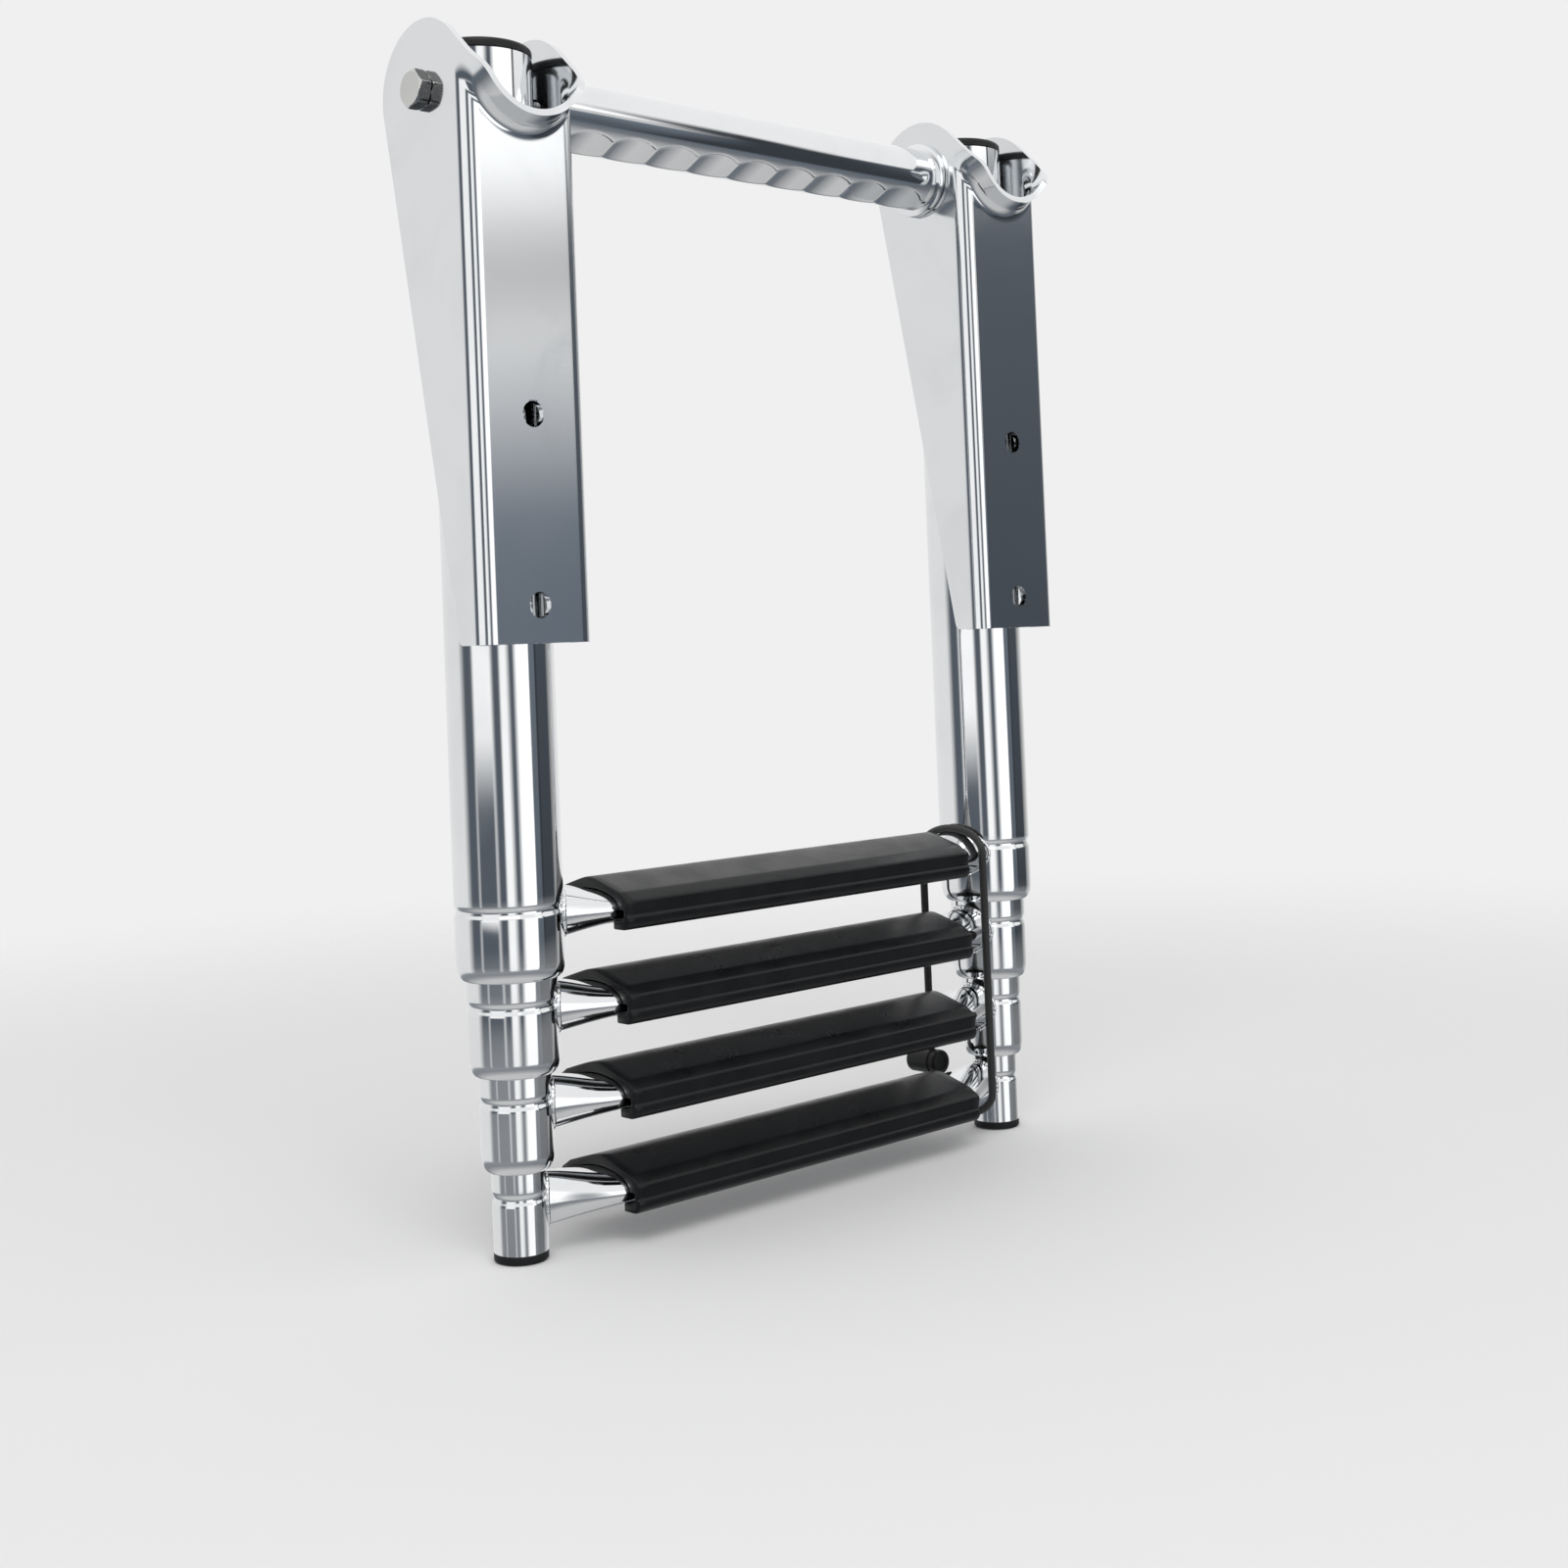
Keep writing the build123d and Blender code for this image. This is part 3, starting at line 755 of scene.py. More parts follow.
@dataclass
class HandGrip:
    """Tube between the brackets with a row of finger hollows underneath."""

    radius: float = 12.7
    wall: float = 2.5
    collar: float = 3.0
    collar_radius: float = 15.5
    gap: float = 0.1
    pitch: float = 20.5
    hollow: float = 25.0
    count: int = 9
    depth: float = 1.9
    aim: float = math.radians(24.0)
    blur: float = 0.35
    steps: int = 160

    @property
    def half(self) -> float:
        """Half the grip's length, without the collars."""
        return SIZE.leg_x - SIZE.channel_half - self.gap - self.collar

    def surface_radius(self, x: np.ndarray, turn: np.ndarray) -> np.ndarray:
        """Radius of the grip's surface, with the hollows' ridges and edges eased."""
        cutter = ((self.hollow / 2) ** 2 + self.depth ** 2) / (2 * self.depth)
        reach = self.radius - self.depth + cutter
        radius = np.full(np.broadcast(x, turn).shape, self.radius)
        facing = np.cos(turn)
        for number in range(self.count):
            offset = x - (number - (self.count - 1) / 2) * self.pitch
            inside = np.abs(offset) < self.hollow / 2
            depth = reach - np.sqrt(np.maximum(cutter ** 2 - offset ** 2, 1.0))
            plane = np.where(inside & (facing > 0.3), depth / np.maximum(facing, 0.3), NOWHERE)
            gap = np.abs(radius - plane)
            ease = np.maximum(self.blur - gap, 0.0) ** 2 / (4 * self.blur)
            radius = np.minimum(radius, plane) - ease
        return radius

    def ring(self, x: float, radius: np.ndarray | float) -> np.ndarray:
        """One ring of the grip, which starts where the hollows aim."""
        aim = full_turn(self.steps) + self.aim
        return np.stack([np.full(self.steps, x), -radius * np.sin(aim), -radius * np.cos(aim) + SIZE.pivot_z], axis=1)

    def build(self) -> Pieces:
        """Makes the grip and its two collars."""
        turn = full_turn(self.steps)
        along = np.linspace(-self.half + 0.6, self.half - 0.6, 420)
        outer = [(-self.half, -0.6)] + [(x, 0.0) for x in along] + [(self.half, -0.6)]
        rings = [self.ring(x, self.surface_radius(np.array(x), turn) + shrink) for x, shrink in outer]
        rings += [self.ring(x, self.radius - self.wall) for x in (self.half - 20, -self.half + 20)]
        faces = grid_faces(len(rings), self.steps, True, True)
        grip = make_piece("hand_grip_steel", np.concatenate(rings), faces, 40.0)
        fit(grip, "upper_frame", "leg_steel", "hand_grip")
        pieces = [grip]
        for side in Side:
            inner, outer_x = self.half, self.half + self.collar
            r = self.collar_radius
            profile = [(SIZE.pin_hole, inner), (r - 1.2, inner), (r - 0.35, inner + 0.35), (r, inner + 1.1),
                       (r, outer_x - 1.1), (r - 0.35, outer_x - 0.35), (r - 1.2, outer_x),
                       (SIZE.pin_hole, outer_x)]
            rows = [(radius, side.value * x) for radius, x in profile]
            ring = lathe(f"collar_{side.word}_steel", rows, (0.0, 0.0, SIZE.pivot_z), "X", 96)
            pieces.append(fit(ring, "upper_frame", "leg_steel", f"collar_{side.word}"))
        return pieces


@dataclass
class Fasteners:
    """Hexagon bolts that the brackets hinge on, with their shanks."""

    across_flats: float = 12.2
    head: float = 4.8
    face_radius: float = 5.8
    face_drop: float = 0.7
    shank_radius: float = 4.0
    plug_length: float = 18.0
    turned: float = math.radians(10.0)
    gap: float = 0.1
    steps: int = 144

    def hexagon(self, x: float, largest: float, eased: float = 0.12) -> np.ndarray:
        """One ring of a bolt's head.

        Args:
            x: the ring's place along the hinge.
            largest: the radius that the corners are cut back to.
            eased: how far the corners themselves are rounded off.

        Returns:
            Rows of x, y, z in millimetres.
        """
        sector = (full_turn(self.steps) + math.pi / 6) % (math.pi / 3) - math.pi / 6
        radius = self.across_flats / 2 / np.cos(sector)
        return self.ring(x, np.minimum(radius, min(largest, self.corner - eased)))

    @property
    def corner(self) -> float:
        """Radius of the head's corners before they are eased."""
        return self.across_flats / 2 / math.cos(math.pi / 6)

    def ring(self, x: float, radius: np.ndarray | float) -> np.ndarray:
        """One ring about the hinge."""
        aim = full_turn(self.steps) + self.turned
        return np.stack([np.full(len(aim), x), radius * np.sin(aim), radius * np.cos(aim) + SIZE.pivot_z], axis=1)

    def build(self) -> Pieces:
        """Makes both bolts."""
        pieces = []
        under = SIZE.leg_x + SIZE.channel_half + self.gap
        end = HandGrip().half - self.plug_length
        for side in Side:
            s, top = side.value, under + self.head
            rings = [self.ring(s * end, self.shank_radius - 0.6), self.ring(s * (end + 0.6), self.shank_radius),
                     self.ring(s * under, self.shank_radius), self.ring(s * under, 5.7),
                     self.hexagon(s * (under + 0.25), 6.6), self.hexagon(s * (under + 0.7), self.corner)]
            for share in np.linspace(0, 1, 7):
                largest = self.corner + (self.face_radius - self.corner) * share
                rings.append(self.hexagon(s * (top - self.face_drop * (1 - share)), largest))
            rings += [self.ring(s * (top - 0.02), self.face_radius - 0.25), self.ring(s * (top - 0.12), 4.9)]
            bolt = loft(f"bolt_{side.word}_steel", rings, 28.0)
            pieces.append(fit(bolt, "upper_frame", "fastener_steel", f"pivot_bolt_{side.word}"))
        return pieces


@dataclass
class Plugs:
    """Black plugs: the caps at the top and the feet at the bottom."""

    cap_thick: float = 3.4
    cap_depth: float = 8.0
    foot_depth: float = 12.0

    def build(self) -> Pieces:
        """Makes two caps and two feet."""
        pieces = []
        for side in Side:
            centre = (side.value * SIZE.leg_x, 0.0, 0.0)
            r, high = SIZE.radii[0], SIZE.top_z(0)
            bore = r - SIZE.wall
            top = high + self.cap_thick
            low = high - self.cap_depth
            rows = [(0.0, low), (bore - 0.5, low), (bore, low + 0.5), (bore, high), (r - 0.2, high),
                    (r, high + 0.25), (r, top - 1.5)]
            rows += [(r - 1.5 + 1.5 * math.cos(t), top - 1.5 + 1.5 * math.sin(t))
                     for t in np.linspace(0.2, math.pi / 2, 7)]
            rows += [(r - 5, top), (r - 6, top - 0.15), (0.0, top - 0.15)]
            cap = lathe(f"cap_{side.word}_plug", rows, centre)
            pieces.append(fit(cap, "upper_frame", "cap_plastic", f"cap_{side.word}"))
            r = SIZE.radii[-1]
            bore = r - SIZE.wall
            pad = SIZE.foot_pad
            high = pad + self.foot_depth
            rows = [(0.0, 0.0), (r - 1.2, 0.0), (r - 0.55, 0.15), (r - 0.15, 0.5), (r, 0.9), (r, pad - 0.2),
                    (r - 0.2, pad), (bore, pad), (bore, pad + self.foot_depth - 0.6), (bore - 0.6, high), (0.0, high)]
            foot = lathe(f"foot_{side.word}_plug", rows, centre)
            pieces.append(fit(foot, "section_4", "foot_rubber", f"foot_{side.word}"))
        return pieces


@dataclass
class RetainingLoop:
    """Elastic cord round the right ends of the rungs, and its toggle."""

    cord_radius: float = 1.6
    beside_tread: float = 14.0
    gap: float = 0.3
    under_drop: float = 1.3
    toggle_radius: float = 5.2
    toggle_length: float = 16.6
    toggle_front: float = 6.0
    toggle_rise: float = 8.7

    def half_size(self) -> tuple[float, float]:
        """Half the loop's width and its rise over the top rung, to the cord's middle."""
        rungs = Rungs()
        root = rungs.root_half(0)
        root_x = SIZE.leg_x - SIZE.radii[0] * math.sqrt(1 - rungs.root_share ** 2)
        share = self.beside_tread / (root_x - SIZE.tread_half)
        room = self.gap + self.cord_radius
        wide, high = (flat + share * (end - flat) + room for flat, end in zip(rungs.flat_half, root))
        return wide, high - rungs.root_drop

    def path(self) -> np.ndarray:
        """The loop's middle line, as a closed ring of points."""
        wide, high = self.half_size()
        x = SIZE.tread_half + self.beside_tread
        low, top = SIZE.lowest_rung, SIZE.rung_z(0)
        over = [(wide * math.cos(t), top + high * math.sin(t)) for t in np.linspace(0, math.pi, 40)]
        down = [(-wide, top + (low - top) * t) for t in np.linspace(0, 1, 60)[1:-1]]
        below = high + self.under_drop
        under = [(wide * math.cos(t), low + below * math.sin(t)) for t in np.linspace(math.pi, 2 * math.pi, 40)]
        back = [(wide, low + (top - low) * t) for t in np.linspace(0, 1, 60)[1:-1]]
        return np.array([(x, y, z) for y, z in over + down + under + back])

    def build(self) -> Pieces:
        """Makes the loop and the toggle."""
        cord = tube_along("loop_cord", self.path(), lambda s: self.cord_radius, 24)
        fit(cord, "upper_frame", "loop_elastic", "retaining_loop")
        r, long = self.toggle_radius, self.toggle_length
        front = -self.toggle_front
        rows = [(0.0, front + 0.5), (2.6, front + 0.5), (3.0, front)]
        rows += [(r - 1.2 + 1.2 * math.sin(t), front + 1.2 - 1.2 * math.cos(t))
                 for t in np.linspace(0.1, math.pi / 2, 8)]
        rows += [(r, front + 3.2), (r - 0.5, front + 3.6), (r - 0.5, front + 4.2), (r, front + 4.6)]
        rows += [(r - 1.5 + 1.5 * math.cos(t), front + long - 1.5 + 1.5 * math.sin(t))
                 for t in np.linspace(0, math.pi / 2 - 0.1, 8)]
        rows += [(r - 2.0, front + long), (0.0, front + long)]
        centre = (SIZE.tread_half + self.beside_tread, self.half_size()[0], SIZE.lowest_rung + self.toggle_rise)
        barrel = lathe("loop_toggle_barrel", rows, centre, "Y", 64)
        hole = drill("cord_cut", centre, self.cord_radius + 0.1, 20.0, "Z")
        bore(barrel, hole)
        fit(barrel, "section_4", "cap_plastic", "loop_toggle")
        return [cord, barrel]


# ------------------------------------------------------------------ finishes


class Graph:
    """A node tree with short ways to add nodes and join sockets."""

    def __init__(self, tree: Tree) -> None:
        """Keeps the tree that nodes go into."""
        self.tree = tree

    def add(self, kind: str, **values: object) -> bpy.types.Node:
        """Adds a node.

        Args:
            kind: the node's type, without the "ShaderNode" before it.
            **values: properties of the node, or inputs by name with spaces
                written as underscores. A socket given as a value is linked.

        Returns:
            The node.
        """
        node = self.tree.nodes.new("ShaderNode" + kind)
        for key, value in values.items():
            if hasattr(node, key):
                setattr(node, key, value)
            else:
                self.feed(node, key.replace("_", " "), value)
        return node

    def feed(self, node: bpy.types.Node, socket: str | int, value: object) -> None:
        """Sets or links one input of a node."""
        target = node.inputs[socket]
        if isinstance(value, Socket):
            self.tree.links.new(value, target)
        else:
            target.default_value = value

    def maths(self, operation: str, *values: object) -> Socket:
        """A Math node's output."""
        return self.wired("Math", values, operation=operation)

    def wired(self, kind: str, values: Sequence[object], **settings: object) -> Socket:
        """The first output of a new node whose inputs are fed in order."""
        node = self.add(kind, **settings)
        for i, value in enumerate(values):
            self.feed(node, i, value)
        return node.outputs[0]

    def place(self, kind: str = "Object") -> Socket:
        """The object's own coordinates, or another of the texture coordinates."""
        return self.add("TexCoord").outputs[kind]

    def noise(self, place: Socket, **values: object) -> Socket:
        """A noise texture's value."""
        return self.add("TexNoise", Vector=place, **values).outputs["Fac"]

    def bumped(self, shader: bpy.types.Node, strength: float, distance: float, height: Socket) -> None:
        """Raises a shader's surface by a height."""
        bump = self.add("Bump", Strength=strength, Distance=distance, Height=height)
        self.feed(shader, "Normal", bump.outputs["Normal"])

    def ranged(self, value: Socket, low: float, high: float, new_low: float, new_high: float) -> Socket:
        """Maps a value from one range to another, clamped and eased."""
        return self.wired("MapRange", (value, low, high, new_low, new_high), interpolation_type="SMOOTHSTEP")

    def mixed(self, share: Socket | float, first: object, second: object) -> Socket:
        """A mix of two colours."""
        node = self.tree.nodes.new("ShaderNodeMix")
        node.data_type = "RGBA"
        self.feed(node, 0, share)
        self.feed(node, 6, first)
        self.feed(node, 7, second)
        return node.outputs[2]

    def group(self, tree: Tree, **values: object) -> bpy.types.Node:
        """Places a node group with its inputs set."""
        node = self.tree.nodes.new("ShaderNodeGroup")
        node.node_tree = tree
        for key, value in values.items():
            self.feed(node, key.replace("_", " "), value)
        return node


def new_group(name: str, inputs: dict[str, tuple[str, object]],
              outputs: Sequence[str]) -> tuple[Graph, bpy.types.Node, bpy.types.Node]:
    """Starts a shader node group.

    Args:
        name: the group's name.
        inputs: socket kind and default for each input.
        outputs: names of the outputs, all of them plain values.

    Returns:
        The group's graph, its input node and its output node.
    """
    tree = bpy.data.node_groups.new(name, "ShaderNodeTree")
    for key, (kind, default) in inputs.items():
        socket = tree.interface.new_socket(name=key, in_out="INPUT", socket_type="NodeSocket" + kind)
        socket.default_value = default
    for key in outputs:
        tree.interface.new_socket(name=key, in_out="OUTPUT", socket_type="NodeSocketFloat")
    return Graph(tree), tree.nodes.new("NodeGroupInput"), tree.nodes.new("NodeGroupOutput")


class Effects:
    """Node groups that the finishes share, each built once."""

    def __init__(self) -> None:
        """Builds the groups."""
        self.lines = self.make_lines()
        self.smears = self.make_smears()
        self.grain = self.make_grain()
        self.wear_and_highlight = self.make_wear_and_highlight()

    @staticmethod
    def make_lines() -> Tree:
        """Fine lines that polishing or brushing leaves, along one direction."""
        g, given, result = new_group(
            "polishing_lines",
            {"Stretch": ("Vector", (40.0, 4000.0, 4000.0)), "Contrast": ("Float", 1.0)}, ("Lines",))
        scaled = g.wired("VectorMath", (g.place(), given.outputs["Stretch"]), operation="MULTIPLY")
        fine = g.noise(scaled, Scale=1.0, Detail=3.0, Roughness=0.6)
        value = g.maths("MULTIPLY", g.maths("SUBTRACT", fine, 0.5), given.outputs["Contrast"])
        g.feed(result, "Lines", g.maths("ADD", value, 0.5))
        return g.tree

    @staticmethod
    def make_smears() -> Tree:
        """Soft patches that hands and cloths leave on metal."""
        g, given, result = new_group(
            "hand_smears", {"Scale": ("Float", 22.0), "Amount": ("Float", 1.0)}, ("Smear",))
        wide = g.noise(g.place(), Scale=given.outputs["Scale"], Detail=4.0, Roughness=0.55, Distortion=0.8)
        patch = g.ranged(wide, 0.42, 0.72, 0.0, 1.0)
        g.feed(result, "Smear", g.maths("MULTIPLY", patch, given.outputs["Amount"]))
        return g.tree

    @staticmethod
    def make_grain() -> Tree:
        """Fine pebble of moulded plastic, with slow changes of tone."""
        g, given, result = new_group(
            "moulded_grain", {"Size": ("Float", 1500.0), "Patch": ("Float", 60.0)}, ("Grain", "Tone"))
        place = g.place()
        g.feed(result, "Grain", g.noise(place, Scale=given.outputs["Size"], Detail=3.0, Roughness=0.6))
        g.feed(result, "Tone", g.noise(place, Scale=given.outputs["Patch"], Detail=5.0, Roughness=0.6))
        return g.tree

    @staticmethod
    def make_wear_and_highlight() -> Tree:
        """Mask of the raised edges, which are paler both from rubbed wear and as a painted highlight."""
        g, given, result = new_group(
            "edge_wear_and_highlight", {"Start": ("Float", 0.52), "End": ("Float", 0.6)}, ("Mask",))
        sharp = g.add("NewGeometry").outputs["Pointiness"]
        patchy = g.noise(g.place(), Scale=260.0, Detail=3.0)
        mask = g.ranged(sharp, given.outputs["Start"], given.outputs["End"], 0.0, 1.0)
        g.feed(result, "Mask", g.maths("MULTIPLY", mask, g.ranged(patchy, 0.35, 0.6, 0.3, 1.0)))
        return g.tree


@dataclass(frozen=True)
class Finish:
    """A material's name and colour."""

    name: str
    colour: tuple[float, float, float]

    def make(self, effects: Effects) -> bpy.types.Material:
        """Builds the material.

        Args:
            effects: the shared node groups.

        Returns:
            The material.
        """
        material, g, shader = blank_material(self.name)
        self.paint(effects, g, shader)
        return material

    def paint(self, effects: Effects, g: Graph, shader: bpy.types.Node) -> None:
        """Joins the finish's own nodes to the shader."""
        raise NotImplementedError

    def tinted(self, share: float = 1.0) -> tuple[float, ...]:
        """The colour, darker or lighter by a share."""
        return (*[min(1.0, c * share) for c in self.colour], 1.0)


@dataclass(frozen=True)
class Steel(Finish):
    """Stainless steel, from mirror polish to satin."""

    rough: float
    lines: tuple[float, float, float]
    line_depth: float
    line_rough: float
    smear_rough: float = 0.05
    dull: float = 0.93
    # Share of the colour kept on faces not square to the X axis: painted shade on a bolt head's flats.
    flat_shade: float = 1.0

    def paint(self, effects: Effects, g: Graph, shader: bpy.types.Node) -> None:
        """Adds polishing lines, smears, and raised edges lightened both by rubbed wear and as a painted highlight."""
        lines = g.group(effects.lines, Stretch=self.lines, Contrast=1.4).outputs["Lines"]
        smear = g.group(effects.smears, Scale=24.0, Amount=1.0).outputs["Smear"]
        wear_and_highlight = g.group(effects.wear_and_highlight, Start=0.53, End=0.62).outputs["Mask"]
        tone = g.mixed(g.maths("MULTIPLY", smear, 0.6), self.tinted(), self.tinted(self.dull))
        # Raised edges lighter: rubbed wear plus a painted highlight.
        colour = g.mixed(g.maths("MULTIPLY", wear_and_highlight, 0.5), tone, self.tinted(1.05))
        # Painted shade on the flats of a bolt head.
        if self.flat_shade < 1.0:
            colour = self.shade_flats(g, colour)
        g.feed(shader, "Base Color", colour)
        rough = g.maths("MULTIPLY", g.maths("SUBTRACT", lines, 0.5), self.line_rough)
        rough = g.maths("ADD", rough, self.rough)
        rough = g.maths("ADD", rough, g.maths("MULTIPLY", smear, self.smear_rough))
        g.feed(shader, "Roughness", g.maths("MAXIMUM", rough, 0.02))
        g.feed(shader, "Metallic", 1.0)
        g.bumped(shader, 1.0, self.line_depth * MICRON, lines)

    def shade_flats(self, g: Graph, colour: Socket) -> Socket:
        """Paints shade on a bolt head's flats, so they come out darker than its end face.

        Args:
            g: the material's graph.
            colour: the polished metal's colour.

        Returns:
            The colour, darker where a face isn't square to the X axis.
        """
        across = g.wired("SeparateXYZ", (g.place("Normal"),))
        # Mask of the painted shade: full on faces turned away from the X axis.
        flat = g.ranged(g.maths("ABSOLUTE", across), 0.25, 0.7, 1.0, 0.0)
        return g.mixed(flat, colour, self.tinted(self.flat_shade))


@dataclass(frozen=True)
class Plastic(Finish):
    """Black moulded plastic or rubber."""

    rough: float
    grain_size: float
    grain_depth: float
    lift: float = 1.6

    def paint(self, effects: Effects, g: Graph, shader: bpy.types.Node) -> None:
        """Adds grain, slow changes of tone, and raised edges paler both from rubbed wear and as a painted highlight.
        """
        grain = g.group(effects.grain, Size=self.grain_size, Patch=70.0)
        wear_and_highlight = g.group(effects.wear_and_highlight, Start=0.52, End=0.6).outputs["Mask"]
        pale = self.tinted(self.lift)
        tone = g.mixed(g.ranged(grain.outputs["Tone"], 0.35, 0.7, 0.0, 0.6), self.tinted(), pale)
        # Raised edges paler: rubbed wear plus a painted highlight.
        g.feed(shader, "Base Color", g.mixed(g.maths("MULTIPLY", wear_and_highlight, 0.6), tone, pale))
        rough = g.ranged(grain.outputs["Tone"], 0.3, 0.7, self.rough - 0.05, self.rough + 0.06)
        g.feed(shader, "Roughness", rough)
        g.feed(shader, "Specular IOR Level", 0.24)
        g.bumped(shader, self.grain_depth, 0.0001, grain.outputs["Grain"])


@dataclass(frozen=True)
class Braid(Finish):
    """Woven sleeve of an elastic cord."""

    rough: float = 0.55

    def paint(self, effects: Effects, g: Graph, shader: bpy.types.Node) -> None:
        """Adds the weave of two crossing waves."""
        place = g.place()
        waves = []
        for tilt in (0.8, -0.8):
            turned = g.add("Mapping", Vector=place, Rotation=(tilt, 0.0, tilt))
            wave = g.add("TexWave", Vector=turned.outputs[0], Scale=420.0, Distortion=0.6)
            waves.append(wave.outputs["Fac"])
        weave = g.maths("MULTIPLY", *waves)
        tone = g.group(effects.grain, Size=2200.0, Patch=90.0).outputs["Tone"]
        colour = g.mixed(g.maths("MULTIPLY", weave, tone), self.tinted(), self.tinted(2.2))
        g.feed(shader, "Base Color", colour)
        g.feed(shader, "Roughness", g.ranged(tone, 0.3, 0.7, self.rough - 0.06, self.rough + 0.08))
        g.feed(shader, "Sheen Weight", 0.15)
        g.bumped(shader, 0.5, 0.00015, weave)


def blank_material(name: str) -> tuple[bpy.types.Material, Graph, bpy.types.Node]:
    """Starts a material with only a Principled BSDF.

    Args:
        name: the material's name.

    Returns:
        The material, its graph and the shader node.
    """
    material = bpy.data.materials.new(name)
    material.use_nodes = True
    tree = material.node_tree
    tree.nodes.clear()
    shader = tree.nodes.new("ShaderNodeBsdfPrincipled")
    out = tree.nodes.new("ShaderNodeOutputMaterial")
    tree.links.new(shader.outputs["BSDF"], out.inputs["Surface"])
    return material, Graph(tree), shader


def dress(piece: Piece, material: bpy.types.Material) -> None:
    """Gives a piece one material, in place of any it has."""
    piece.data.materials.clear()
    piece.data.materials.append(material)


FINISHES = {
    "leg_steel": Steel("polished_leg_steel", (0.80, 0.81, 0.82), 0.045, (9000.0, 9000.0, 60.0), 0.4, 0.03),
    "rung_steel": Steel("polished_rung_steel", (0.79, 0.80, 0.81), 0.055, (60.0, 9000.0, 9000.0), 0.5, 0.04),
    "bracket_steel": Steel("brushed_bracket_steel", (0.77, 0.785, 0.80), 0.095, (30.0, 200.0, 7000.0),
                           0.12, 0.06, smear_rough=0.03),
    # The fastener's flats carry painted shade, at a quarter of the colour.
    "fastener_steel": Steel("turned_fastener_steel", (0.58, 0.58, 0.57), 0.15, (40.0, 900.0, 900.0),
                            0.05, 0.06, flat_shade=0.25),
    "tread_plastic": Plastic("moulded_tread_plastic", (0.0045, 0.0050, 0.0057), 0.31, 1100.0, 0.35),
    "cap_plastic": Plastic("moulded_cap_plastic", (0.009, 0.0095, 0.010), 0.38, 1800.0, 0.3),
    "foot_rubber": Plastic("moulded_foot_rubber", (0.008, 0.0085, 0.009), 0.55, 1600.0, 0.3),
    "bush_plastic": Plastic("turned_bush_plastic", (0.03, 0.03, 0.031), 0.35, 3000.0, 0.1),
    "loop_elastic": Braid("braided_loop_elastic", (0.008, 0.008, 0.009)),
}


# --------------------------------------------------------------------- stage


# Light levels of the surroundings: the plain backdrop, the strip lights, the
# one brighter lamp, and the dark gaps between them.
PALE, STRIP, LAMP, GAP, SHADE = 0.87, 1.15, 1.4, 0.12, 0.05


